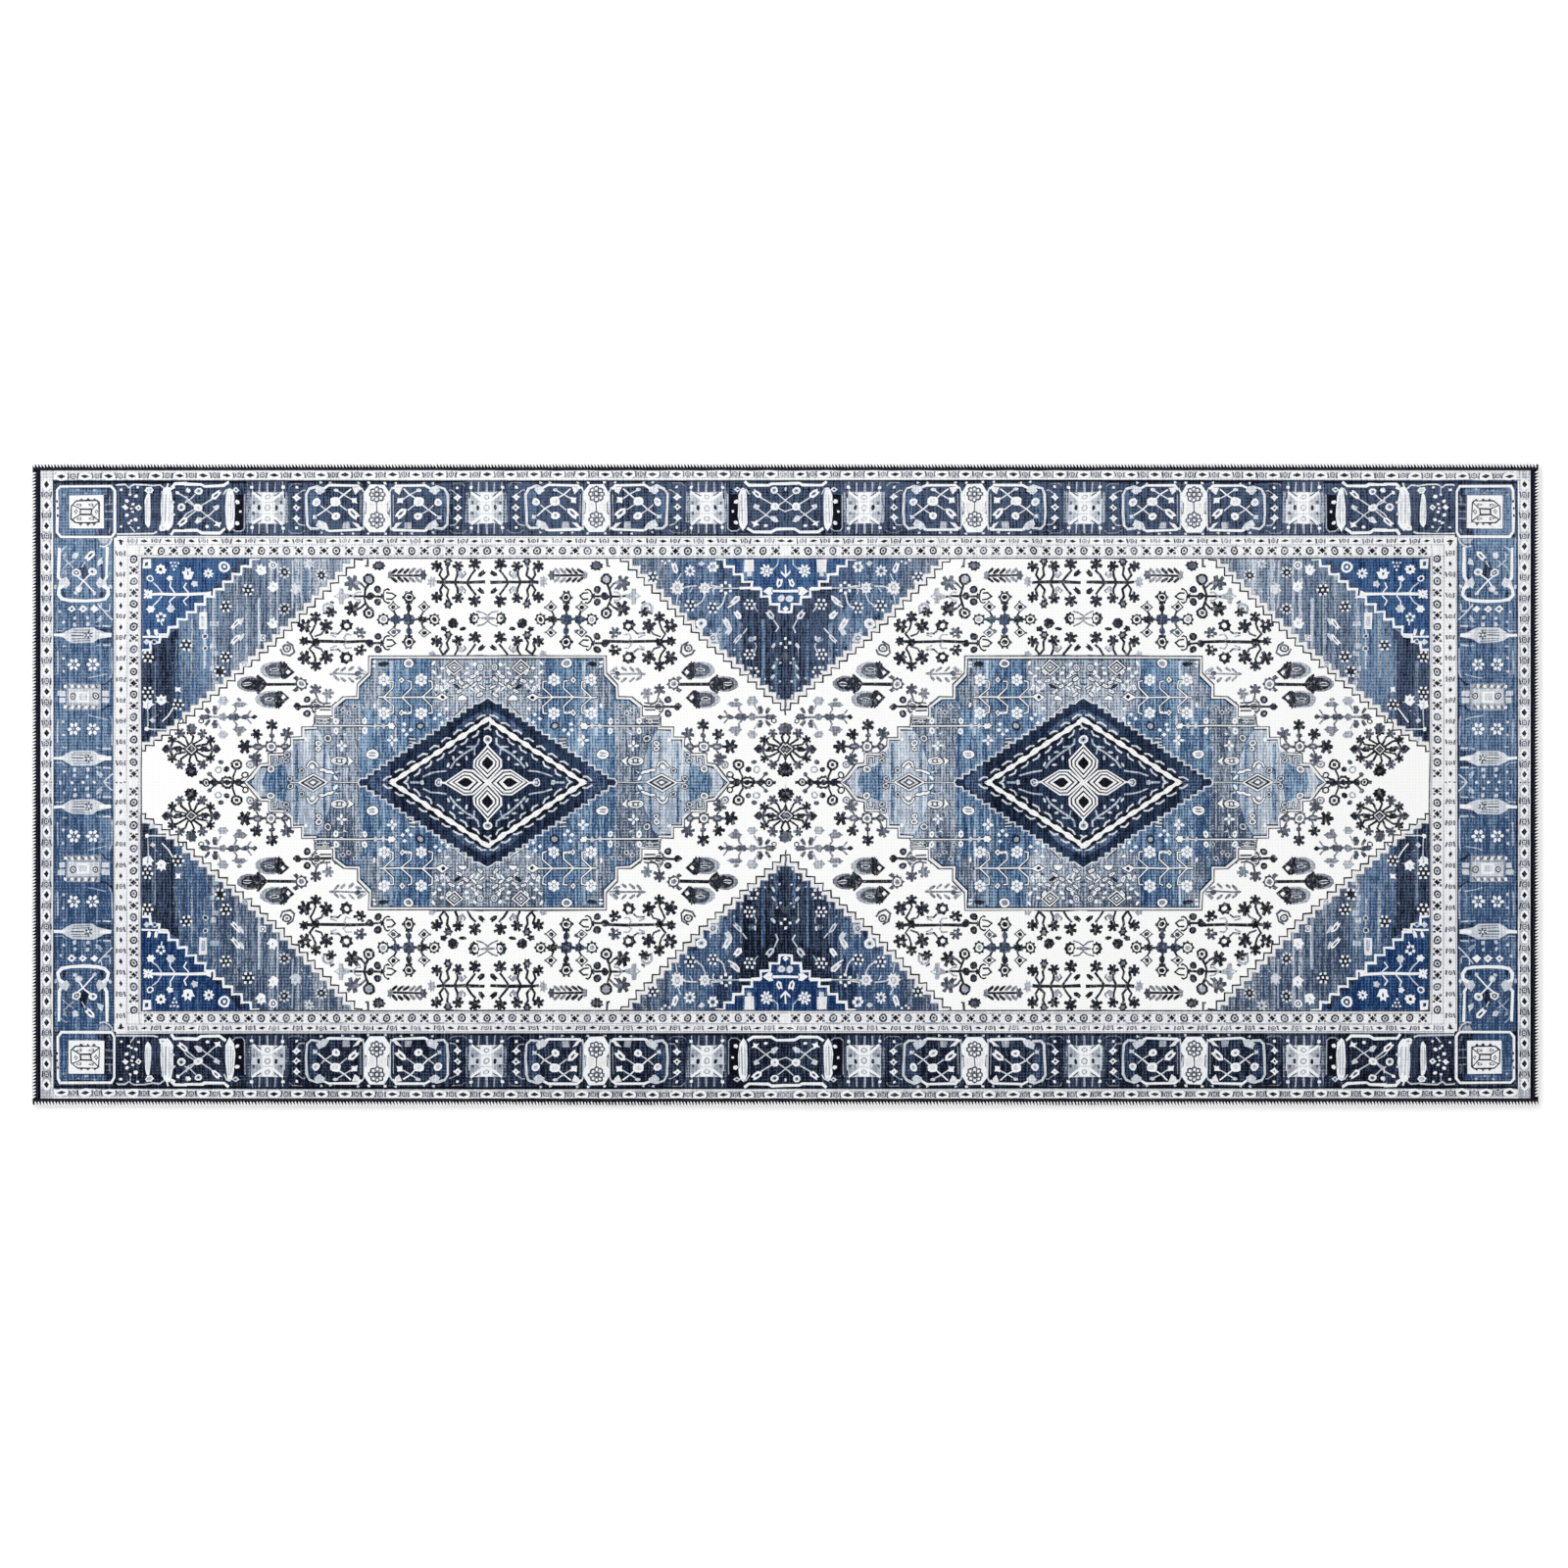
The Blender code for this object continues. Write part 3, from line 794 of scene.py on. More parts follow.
def ivoryTrees():
    # the lower tree
    each(line, "ink", ("142,173.4 222,173.4", 3), ("214,171.4 236,171.4", 2))
    oval("ink", 219, 171.2, 4, 4.6, 8)
    for y in (179.4, 163.8):
        oval("ink", 228.6, y, 4.5, 4.4, 8)
        oval("smoke", 228.6, y, 1.6, None, 6)
    openTulip("ink", 241.6, 171.6, 7.6)
    spiky("ink", 139, 174, 6.6, 6, 8, 0.4)
    for sy in (1, -1):
        axis = 173.6
        line("ink", shift("150,3 146,9 150,15 153,22 150,28", 0, axis, 1, sy), 1.9)
        each(line, "smoke", (shift("152,6 160,9 164,16", 0, axis, 1, sy), 1.8),
            (shift("184,13 180,9.4 171,10", 0, axis, 1, sy), 1.7))
        each(line, "silver", (shift("196,8 190,8.6 187,4 190,1.5", 0, axis, 1, sy), 1.2),
            (shift("178,5 171,7.6", 0, axis, 1, sy), 1.3))
        oval("silver", 176, axis + sy * 9.6, 2.2, 1.6, 6)
        mapleLeaf("ink" if sy < 0 else "smoke", 206.6, 173.6 + sy * 10, 6.6, sy * 64)
        oval("ivory", 205.6, 173.6 + sy * 8.6, 1.7, 1.2, 6)
        spiky("ink", 190, 173.4 + sy * 19.6, 8.4, 7.8, 7, 0.24, 20)
        oval("ivory", 190.6, 173.4 + sy * 19.2, 3.4, 3.2, 6)
        each(mapleLeaf, "ink", (165.4, 173.2 + sy * 18.6, 7.6, sy * 34),
            (140.4, 173 + sy * 19.4, 7.8, 180 - sy * 8), (153, 173.6 + sy * 29, 6.2, sy * 90))
    spiky("black", 153, 172.6, 6.2, 5.2, 6, 0.3)
    oval("pearl", 140.4, 194, 2, 1.6, 6)
    # the sprig below it
    line("ash", "170,134 213,134", 1.5)
    for x, y, a in ((178, 138, 40), (186, 139.6, 40), (196, 140, 40), (178, 129, -40), (186, 127.6, -40),
            (196, 127, -40), (174, 134, 0), (207, 139, 140), (205, 129.4, 200)):
        bud("ash", x, y, 4.4, a, None, 0.3)
    oval("smoke", 204, 134.6, 3.4, 3.2, 6)
    line("silver", "205,143 214,136", 1.2)
    # the tree whose stem reaches the bay's middle line
    each(line, "ink", ("300,245.4 358,245.4", 3.2), ("300,155.2 356,155.2", 3))
    for axis, sy in ((245.4, 1), (245.4, -1), (155.2, 1)):
        lines("ink", 2.2, shift("308,2 303.6,9 306,16 303,20", 0, axis, 1, sy), shift("322,2 325,8 325,14", 0,
            axis, 1, sy), shift("337,2 342,9 347,15", 0, axis, 1, sy))
        line("ink", shift("309,3 314,9 312.4,17 315,22", 0, axis, 1, sy), 2.3)
        bud("ink", 354, axis + sy * 10.6, 4.8, 90 - sy * 50, None, 0.5)
        line("ash", shift("330,5 335,10 333,13", 0, axis, 1, sy), 1.3)
    for x, y, a in ((300, 264.6, 150), (300, 227.4, 210), (300, 173.6, 150), (325.6, 264.4, 60),
            (325.6, 226.4, -60), (325.6, 174.2, 60)):
        mapleLeaf("ink", x, y, 6, a)
    for y in (270.6, 219, 181.4):
        spiky("ink", 313.6, y, 5.6, 6, 6, 0.34)
        oval("ash", 313.6, y, 1.9, None, 6)
    spiky("ink", 308.6, 189, 4.6, 3.6, 5, 0.3)
    for y, a in ((267, 80), (223.4, -80), (177.6, 80)):
        mapleLeaf("ink", 346, y, 6.9, a)
    each(spiky, "silver", (294, 246, 5.4, 7.6, 7, 0.4), (294, 158, 4.6, 4.4, 6, 0.3))
    for y in (254, 236.6, 164):
        oval("silver", 329, y, 2.8, 3.6, 6)
    # palmette and the double spear
    each(spiky, "ink", (319.6, 195.6, 6.4, 6.2, 12, 0.14), (345, 201.4, 6.6, 8.2, 8, 0.2))
    oval("ink", 331.4, 189, 4.2, 2, 8)
    oval("ivory", 346.4, 201.4, 3.4, 4.4, 8)
    oval("smoke", 345.4, 201.4, 1.6, None, 6)
    for sy in (-1, 1):
        each(line, "ash", (shift("349,9 356,7 361.5,3", 0, 201.4, 1, sy), 1.3),
            ([(353, 201.4), (361.5, 201.4 + sy * 1.2)], 1.1))


def blurredOval(x, y, sy):
    oval("silver", x, y, 18.6, 10.4, 12)
    oval("smoke", x + 2, y, 14.6, 8.6, 10)
    spiky("ink", x + 10.4, y, 5, 11.4, 8, 0.2)
    oval("pearl", x - 1, y + 1, 6.4, 2.2, 6)
    oval("ink", x - 1, y + 1, 4.2, 0.8, 6)
    oval("ash", x - 1, y - 3.4, 7, 1.2, 6)
    line("ink", shift("6,9.6 12,5.4 16,2 21,-2.4 13,-9.4 8,-8", x, y, 1, sy), 2.6)
    diamond("ivory", x + 15.6, y - sy * 2.6, 3, 3)


def ivoryLowGroup():
    blurredOval(104, 138.6, 1)
    blurredOval(98, 103, -1)
    ring("smoke", 118, 165.4, 5.6, "ivory", "ash", 5.2, 8)
    line("smoke", "110,164 113,158 122,155.6 127,160 125,169 118,173", 1.7)
    # the dark oval between them, on one long stem
    line("ink", "88,121.6 131,121.6", 3.4)
    oval("ash", 73, 122, 15.6, 9.4, 12)
    oval("ink", 75, 122, 12.6, 7.4, 10)
    oval("pearl", 70, 122, 6, 2.6, 8)
    oval("ink", 70, 122, 6, 0.8, 6)
    spiky("ink", 84, 121.6, 5.4, 11.6, 8, 0.2)
    line("ink", "82,132.6 89,127 93,122 89,116 82,111", 2.4)
    spikyRing("smoke", 135.6, 122, 8.4, "ash")
    each(spiky, "smoke", (129, 129.6, 3.6, 2.4, 4, 0.3), (129, 114.4, 3.4, 2.4, 4, 0.3))
    mapleLeaf("smoke", 153, 114.6, 6.4, 90)
    mapleLeaf("ash", 168, 110, 6, 60)
    line("smoke", "153,110 156,101 164,97", 1.7)
    line("ash", "167,106 166,98", 1.5)
    # two seeds on a stem at its left
    line("ink", "126,94.4 172,94.4", 2.3)
    oval("ink", 131, 94.4, 4, 4.4, 8)
    for y in (103, 86):
        oval("ink", 142.6, y, 4.3, 4.2, 8)
        oval("ash", 142.6, y, 1.5, None, 6)
        line("ash", [(148, (y + 94.4) / 2), (154, y + (2 if y > 94 else -2))], 1.3)
    for y in (98.8, 90):
        line("smoke", [(158, y), (171, y)], 1.4)
    openTulip("smoke", 153, 94.4, 5.6)
    line("smoke", "176,100 180,94.4 176,89", 1.6)
    # a worn cross of four petals on one stem
    line("ash", "22,82 76,82", 2.2)
    for x, y, w, h, ink in ((31, 90.4, 3.8, 5.6, "smoke"), (31, 73.4, 3.8, 5.6, "smoke"),
            (18.6, 82, 7.6, 3.6, "smoke"), (40.4, 82, 4.8, 4.8, "ash"), (53.6, 82, 8.6, 4.4, "smoke"),
            (68, 82, 5, 3.4, "smoke"), (78.6, 82, 3.4, 2.8, "ink"), (61, 97, 9.6, 3.4, "ash"),
            (40.4, 101.4, 7, 6, "silver"), (61, 66.4, 8.6, 4.2, "ash"), (40.4, 60.6, 6.4, 5, "silver")):
        spiky(ink, x, y, w, h, 6, 0.2)
    for sy in (1, -1):
        bud("smoke", 21.6, 82 + sy * 7.4, 4.4, 180 - sy * 52, None, 0.4)
        each(line, "ash", (shift("70,2 74.6,8", 0, 82, 1, sy), 1.5), (shift("53,3 57,9 55,15", 0, 82, 1, sy),
            1.6))
        line("silver", shift("33,6 38,15", 0, 82, 1, sy), 1.5)
        oval("ash", 60, 82 + sy * 21, 3, 2.2, 6)
    # the pair of flowers right of it
    each(line, "smoke", ("62,46 122,46", 2.6), ("100,72 100,46", 1.9))
    spikyRing("smoke", 99, 46, 8.4, "ash")
    for x, y, r, a, ink in ((100, 71.4, 6.6, 90, "ink"), (118.6, 61, 7, 130, "smoke"),
            (81, 60.4, 6.4, 60, "ink"), (79.6, 31.4, 7.4, -80, "smoke"), (67.6, 46, 7.8, 180, "ink"),
            (118, 31, 6.2, -50, "ash"), (101, 30, 5.4, -90, "ink")):
        mapleLeaf(ink, x, y, r, a)
    for x, w in ((83, 7.4), (115.6, 5.6)):
        spiky("smoke", x, 46, w, 4, 6, 0.2)
        oval("silver", x, 46, w * 0.4, 1.2, 6)
    oval("smoke", 100, 59.4, 3.6, 2.8, 6)
    for points in ([(84, 48), (82, 56)], [(84, 43), (80.6, 37)], [(114, 48), (118, 57)], [(114, 44),
            (117, 36)], [(100, 40), (100.6, 34)]):
        line("smoke", points, 1.7)
    # the row along the rug's middle line
    each(spiky, "ink", (46, 4, 9.4, 6.8, 10, 0.2), (30, 3.2, 4.4, 4.2, 4, 0.2))
    oval("ivory", 46, 4, 5.4, 3.6, 8)
    each(oval, "ink", (46, 4, 2.6, 1.8, 6), (59, 3.2, 4, 3.8, 8), (45, 18.4, 3.4, 3.2, 8))
    line("ink", "12,3.2 84,3.2", 1.9)
    each(ring, "ink", (20, 3, 4.6, "ivory", "ink", 4.4, 8), (67.4, 11.6, 4.2, "ivory", None, 4.2, 8),
        (57, 24, 7.2, "ivory", "ink", 6.6, 8))
    each(line, "ink", ("60,5 66,9", 1.6), ("56,18 52,9", 1.8))
    ring("silver", 35, 18, 4.4, "ivory", None, 4.2, 8)
    each(oval, "smoke", (38, 27, 3.2, 2.6, 6), (24, 12.6, 2.8, 2.6, 6), (80, 10, 3, 2.6, 6))
    line("smoke", "24,12 30,6", 1.5)
    ring("ash", 73.6, 24, 5, "ivory", "ash", 4.6, 8)


def crossFlower():
    # the big cross between two bays
    x, y = 2, 43
    for k in range(12):
        a = math.tau * k / 12
        c, v = math.cos(a), math.sin(a)
        line("ink", [(x + 8 * c, y + 7 * v), (x + 20 * c + 3 * v, y + 15 * v - 2 * c),
            (x + 24 * c, y + 20 * v)], 2)
        mapleLeaf("ink" if k % 2 else "smoke", x + 26.6 * c, y + 21.6 * v, 5.2, math.degrees(a))
    for sx in (-1, 1):
        spiky("ink", x + sx * 15.6, y, 5.8, 3.8, 6, 0.26)
        diamond("ink", x + sx * 31.4, y, 4.8, 5)
    diamond("ink", x, y, 9.8, 9.2)
    diamond("ivory", x, y, 6.6, 6.2)
    diamond("ink", x, y, 4.8, 4.4)
    diamond("ash", x, y, 2.2, 1.8)
    spiky("smoke", x, y + 25.4, 7, 6.4, 8, 0.22)
    spiky("black", x, y - 27, 8.2, 7, 10, 0.2)
    oval("smoke", x, y - 27, 2.3, None, 6)
    each(ring, "ink", (x + 12, y + 34, 3.4, "ivory", None, 3.2, 6),
        (x - 12, y + 34, 3.4, "ivory", None, 3.2, 6))


def stairs(x, y, dx, dy, count):
    # Corner points of a flight that goes across, then down, count times.
    out = [(x, y)]
    for k in range(count):
        out += [(x + dx * (k + 1), y - dy * k), (x + dx * (k + 1), y - dy * (k + 1))]
    return out


def outerStairs(grow, rise):
    # From under the long guard in towards the rug's middle, in three flights that flatten out.
    steps = [(209 - grow, 276.5 + grow + rise)]
    for dx, dy, count in ((-9.5, 9.5, 11), (-9.9, 8.5, 12), (-9.9, 6.4, 5)):
        steps += stairs(*steps[-1], dx, dy, count)[1:]
    return steps


def innerStairs():
    return stairs(85.1, 273.6, -11.08, 9.16, 8)


def triangleGround():
    box("navy", -10, 70, 56, 276, True)
    box("navyBlue", 56, 100, 134, 276, True)
    box("steel", 120, 180, 210, 276, True)
    poly("sideBlue", "86,276 140,276 140,200 110,206 70,150 64,200 86,230", True)
    for x, y0, y1, w, ink in ((25, 100, 200, 4, "sideBlue"), (52, 120, 196, 5, "steel"),
            (9, 90, 150, 4, "sideBlue"), (66, 150, 230, 3, "steel"), (150, 220, 276, 4, "haze"),
            (104, 180, 276, 3, "steel"), (168, 240, 276, 5, "haze"), (78, 140, 190, 4, "haze"),
            (38, 100, 140, 3, "navyBlue")):
        box(ink, x, y0, x + w, y1)
    for k in range(64):
        x, y = 200 - 3.1 * k + 4 * (k % 3), 270 - 2.9 * k + 5 * (k % 2) + 7 * (k % 4)
        box(("haze", "ink", "frost", "smoke")[k % 4], x - 9, y, x - 6.4, y + 2.2 + k % 3)
    grit((0, 100), (60, 240), 37, 1.6, ("ink", "steel", "edgeNavy"))
    grit((60, 150), (190, 272), 41, 1.6, ("ink", "haze", "smoke"))


def centreTriangle():
    poly("royal", innerStairs() + [(-10, 202), (-10, 276)], True)
    poly("sideBlue", "38,250 52,250 52,274 38,274", True)
    lines("white", 2.8, innerStairs(), "30,238.2 56,238.2")
    line("ink", "56,238.2 92,238.2", 2.4)
    line("pearl", "56,238.2 92,238.2", 1.2)
    # motifs above the white steps
    petals("white", 23, 259.4, 8.2, 8, 0.36, 0.2, 22.5)
    oval("white", 23, 259.4, 2.2, None, 6)
    each(line, "white", ("0,266 0,252", 1.8), ("-8,234.6 16,234.6", 3))
    polys("white", "-6,260 0,254 6,260 6,257 0,250.4 -6,257", "15,238.6 20,240 28,234.6 20,229.4 15,230.8 "
        "17.4,234.6")
    for sx in (-1, 1):
        bud("white", sx * 7.4, 244.6, 5.6, 90 + sx * 14, "royal", 0.6)
    line("frost", "9,274 9,267 17,259.6", 1.5)
    box("cream", 38.4, 258, 50, 273)
    box("pearl", 41, 252.6, 46.6, 258)
    ring("pearl", 5, 225.6, 4.6, "cream", "silver", 4.6, 8)
    ring("white", -4.6, 225.6, 4.6, "cream", "silver", 4.6, 8)
    spiky("white", 0, 213.4, 3.6, 3.4, 4, 0.3)
    for x, y in ((141, 271), (145.6, 268.4), (150, 271.8)):
        oval("white", x, y, 1.6, None, 6)
    # flowers on the navy and worn blue below them
    each(dots, "white", (72.4, 238.4, 6.2, 6, 2.1, 90, False), (0, 171.6, 5.2, 4, 1.9, 90, False))
    for x, y, r in ((98, 238.4, 7.6), (131, 238.6, 9)):
        spiky("cream", x, y, r, r * 1.06, 12, 0.3)
        oval("frost", x, y, r * 0.4, r * 0.5, 8)
        oval("cream", x, y, r * 0.22, None, 6)
    for x, y in ((43.5, 218.6), (43.5, 157.8), (39, 136.6), (88, 214.4), (115.4, 217), (161, 251.4)):
        dots("white", x, y, 5.6, 6, 1.8, 60, (x, y) != (39, 136.6), "navy")
    each(line, "frost", ("38,216 33.6,209.6", 1.6), ("38,160 36,168 37,172", 1.5))
    each(line, "pearl", ("36,131.6 40,125.6", 1.5), ("14,200 8.6,190.6 12,184.6", 1.7),
        ("46.4,189.6 52,183", 1.6))
    each(bud, "pearl", (18.4, 205.6, 6.6, 48, "navy", 0.56), (57.4, 177, 7.4, -48, "steel", 0.3))
    bud("white", 57.6, 205.6, 6.6, 52, "silver", 0.5)
    each(bud, "cream", (60.4, 223.6, 7.6, -44, "silver", 0.42), (70.6, 195, 8.4, 58, "frost", 0.4))
    line("cream", "64,218 70,215", 2)
    bud("pearl", 68.6, 187, 6.6, -60, None, 0.46)
    ring("white", 102, 195.4, 6.8, "pearl", "steel", 6.4, 8)
    ring("pearl", 88, 177.4, 5.2, "steel", "pearl", 5.2, 8)
    lines("pearl", 1.8, "83.6,182 92,184", "83.6,172 84,184")
    lines("pearl", 1.6, "78,240 90,240.6 89,246", "97,231 101,222 110,215")
    lines("pearl", 1.5, "84,240 88,235.6 87,231", "108,241 123,239.6", "131,230 133,219", "131,247 127,256")
    each(line, "pearl", ("72.6,231 76,219.6 82.6,212.4", 1.7), ("113,239 116,233.6", 1.4))
    lobes("white", 88, 264, 6.6, "haze", 6, 0)
    petals("white", 116, 259, 7.2, 8, 0.36, 0.2, 0)
    spiky("pearl", 102, 268, 4, 3.6, 5, 0.3)
    bud("white", 134, 262.6, 7.4, 70, "haze", 0.42)
    for x, y in ((15, 168.6), (14.4, 142.4), (15, 131), (14.6, 168)):
        bud("pearl", x, y, 3.6, -56, None, 0.42)
    oval("pearl", 37, 177.4, 1.7, 3.2, 6)
    spiky("haze", 41.6, 176, 4.4, 3.8, 5, 0.2)
    spiky("smoke", 0, 155, 6, 5.2, 6, 0.3)
    for x, y in ((10, 152.4), (6, 147.8), (7, 125)):
        oval("pearl", x, y, 1.7, 1.5, 6)
    line("smoke", "0,97 0,84", 2.2)
    line("haze", "15.4,165 15.4,147", 1)


def cornerGround():
    # the same corner at the bay's far side, cut off by the short guard
    box("haze", 500, 60, 800, 290, True)
    poly("steel", "596,276 590,200 640,100 690,60 800,40 800,276", True)
    poly("sideBlue", "690,276 684,200 700,130 712,80 800,20 800,276", True)
    poly("navy", "736,190 740,70 800,20 800,150", True)
    for x, y0, y1, w, ink in ((545, 240, 276, 7, "steel"), (566, 222, 276, 5, "mist"),
            (578, 214, 262, 6, "sideBlue"), (590, 200, 276, 4, "mist"), (603, 190, 250, 5, "steel"),
            (597, 214, 272, 2, "frost"), (615, 180, 272, 2.4, "frost"), (622, 190, 276, 5, "mist"),
            (637, 150, 226, 3.4, "frost"), (652, 140, 246, 3.6, "haze"), (664, 130, 276, 5, "haze"),
            (676, 120, 250, 4, "steel"), (690, 110, 236, 6, "haze"), (712, 90, 196, 4, "sideBlue"),
            (728, 80, 210, 4, "steel"), (703, 140, 214, 3, "mist"), (719, 130, 200, 3, "haze"),
            (738, 100, 176, 3, "steel"), (750, 40, 170, 8, "navy"), (764, 40, 150, 4, "steel"),
            (776, 40, 160, 5, "navy")):
        box(ink, x, y0, x + w, y1)
    for k in range(9):
        box("frost", 688 + 2.6 * (k % 4), 120 + 9 * k, 694 + 2 * (k % 3), 126 + 9 * k, True)
    grit((530, 190), (620, 274), 30, 1.5, ("smoke", "frost", "ink", "pearl"))
    grit((620, 90), (720, 270), 34, 1.5, ("smoke", "frost", "ink", "haze"))
    grit((700, 60), (780, 190), 30, 1.4, ("frost", "ink", "haze", "steel"))


def farCorner():
    axis = 2 * design["bayAxis"]
    def over(points):
        return [(axis - x, y) for x, y in points]
    steps = over(innerStairs()) + stairs(726.6, 200.3, 11, 9.2, 5)[1:] + [(800, 154)]
    poly("royal", steps + [(800, 276)], True)
    poly("navy", "655,272 655,266 676,247 698,230 698,236 676,254 664,272", True)
    line("white", steps, 2.7)
    # on the worn corner
    for x, y in ((608, 257.6), (608, 213), (563, 254), (652, 236), (679, 216), (679, 155), (686, 137),
            (727, 169), (737, 97), (774, 112), (774, 155)):
        faded = x < 612
        dots("pearl" if faded else "white", x, y, 5.8, 6 if x > 650 else 8, 1.8, 0, x != 686, "ink")
    spiky("white", 737, 115, 5, 4.6, 4, 0.5, 45)
    for x, y, a in ((636, 260, 70), (621, 240, 60), (622, 195, 80), (594, 237, 60), (774, 97, 110),
            (757, 102, 60)):
        leafFlower("pearl" if x < 600 else "white", x, y, 7.4, a, "frost")
    petals("pearl", 578, 268, 7, 7, 0.4, 0.22, 10)
    each(ring, "white", (622, 266, 5.4, "steel", "white", 5, 8), (634, 178, 5, "haze", "white", 5, 4))
    each(ring, "pearl", (656, 146, 4.6, "haze", "pearl", 4.6, 4), (704, 180, 3.8, "navy", None, 3.6, 6),
        (704, 165, 3.8, "navy", None, 3.6, 6))
    for y in (195, 176):
        bud("white", 667, y, 8.4, -50, "steel", 0.3)
        bud("pearl", 660, y + 3, 5.6, -60, None, 0.3)
    box("cream", 702, 188.6, 711.6, 209)
    box("frost", 704.6, 192, 709, 204)
    line("white", "743,93 749,84 756,76", 1.6)
    line("pearl", "750,67 774,67", 1.6)
    oval("white", 775, 67, 2.7, None, 6)
    each(spiky, "pearl", (768, 78, 3.6, 3.4, 5, 0.3), (768, 55, 4.2, 3.4, 5, 0.3))
    box("frost", 772.8, 70, 774.4, 96)
    # on the clear blue corner
    each(ring, "white", (681, 264, 7.4, "royal", "white", 6.8, 10), (771, 250, 4.6, "royal", None, 4.4, 8))
    each(petals, "white", (700, 256, 6.6, 8, 0.4, 0.22, 0), (773.4, 231, 7.6, 4, 0.46, 0.24, 45),
        (773.4, 231, 6, 4, 0.46, 0.2, 0))
    leafFlower("white", 725, 255, 8, 90, "royal")
    each(spiky, "white", (758, 261, 7.2, 6.6, 8, 0.24), (747, 250, 4.6, 4.2, 5, 0.3))
    oval("ink", 758, 261, 2.2, None, 6)
    box("white", 770, 262, 780, 273.6)
    box("royal", 773, 265, 777, 270)
    spiky("pearl", 717, 243, 5, 4.4, 6, 0.3)
    for x, y in ((737, 269), (741.6, 269), (746, 269), (739.4, 264.6), (743.8, 264.6), (741.6, 260.6)):
        oval("white", x, y, 1.4, None, 6)
    each(line, "white", ("700,231.2 772,231.2", 3.4), ("757.6,199 756,193", 1.5),
        ("749,179.2 781,179.2", 2.2))
    poly("white", "697,235 703,233 703,229 697,227")
    for sy in (1, -1):
        lines("white", 1.5, shift("724,2 730,8 727,14", 0, 231, 1, sy),
            shift("741,2 747,9 746,15", 0, 231, 1, sy))
        line("pearl", shift("757,2 762,9 768,14", 0, 231, 1, sy), 1.5)
    each(spiky, "pearl", (746, 213.4, 6, 5.2, 6, 0.3), (775, 173, 4.2, 3.8, 5, 0.3))
    spiky("white", 770, 213, 5.6, 5, 6, 0.3)
    lobes("white", 758, 203, 6, "royal", 5, 18)
    for x in (763.6, 772.6):
        bud("white", x, 184.6, 4.6, 80, None, 0.44)
    ring("pearl", 766, 173.4, 3.4, "royal", None, 3.2, 6)


def medallionOutline(grow=0):
    g = grow
    turns = [(144.4, 156), (144.4, 135.5), (158.4, 121.5), (158.4, 107), (175, 106.6), (188, 96), (188, 83),
        (210, 83), (210, 70), (225.6, 70), (225.6, 57.6), (239, 57.6), (239, 47), (249, 38.4), (266, 38.4),
        (266, 26), (277, 25), (288, 11), (295, 2.5), (295, -4)]
    out = []
    for u, y in [(0, 156)] + turns:
        out.append((design["bayAxis"] - u - (g if u > 0 else 0), y + (g if y > 3 else 0)))
    return out


def medallionGround():
    axis = design["bayAxis"]
    for grow, ink in ((0.6, "smoke"), (-0.8, "cream"), (-2.9, "ink"), (-4.2, "pond")):
        poly(ink, medallionOutline(grow) + [(axis, -4)], True)
    poly("haze", "222,150 238,150 236,92 214,92 210,116 222,126", True)
    poly("lagoon", "256,150 292,150 296,121 300,60 270,56 256,84", True)
    poly("mist", [(292, 151), (axis, 151), (axis, 104), (318, 80), (296, 92)], True)
    each(poly, "haze", ([(292, 151), (axis, 151), (axis, 132), (310, 128), (292, 132)], True), ("176,94 "
        "205,100 210,84 206,40 206,0 184,0 170,40 154,78 176,78", True))
    poly("frost", "72,-4 84,19 98,21 98,33 114,34 126,45 126,53 139,53 139,65 155,66 160,60 172,30 172,-4",
        True)
    poly("pond", "86,-4 92,16 116,26 122,-4", True)
    for x, y0, y1, w, ink in ((228, 60, 120, 3, "frost"), (243, 84, 150, 3, "frost"),
            (247, 40, 84, 4, "mist"), (262, 110, 150, 3, "pond"), (274, 84, 140, 3, "pond"),
            (286, 60, 110, 3, "pond"), (150, 20, 60, 5, "mist"), (162, 8, 50, 4, "pond"),
            (188, 0, 24, 4, "mist"), (216, 44, 70, 5, "lagoon"), (206, 8, 34, 9, "lagoon"),
            (128, 6, 50, 4, "pond")):
        box(ink, x, y0, x + w, y1)
    dark = ("inkBlue", "white", "smoke", "inkBlue", "frost")
    grit((294, 104), (361, 150), 56, 2.1, dark)
    grit((178, 62), (214, 96), 24, 2, dark)
    grit((152, 72), (176, 82), 5, 1.8, dark)
    grit((172, 2), (208, 60), 22, 1.9, dark)
    grit((100, 4), (150, 36), 15, 1.7, dark)
    grit((208, 4), (236, 24), 7, 1.7, dark)
    grit((214, 86), (296, 150), 22, 1.3, ("lagoon", "frost", "inkBlue"))


def nestedDiamond(x, y, w, h, inside=("ink", "pearl", "smoke", "white")):
    diamond("white", x, y, w, h)
    for shrink, ink in zip((0.82, 0.6, 0.42, 0.2), inside):
        diamond(ink, x, y, w * shrink, h * shrink)


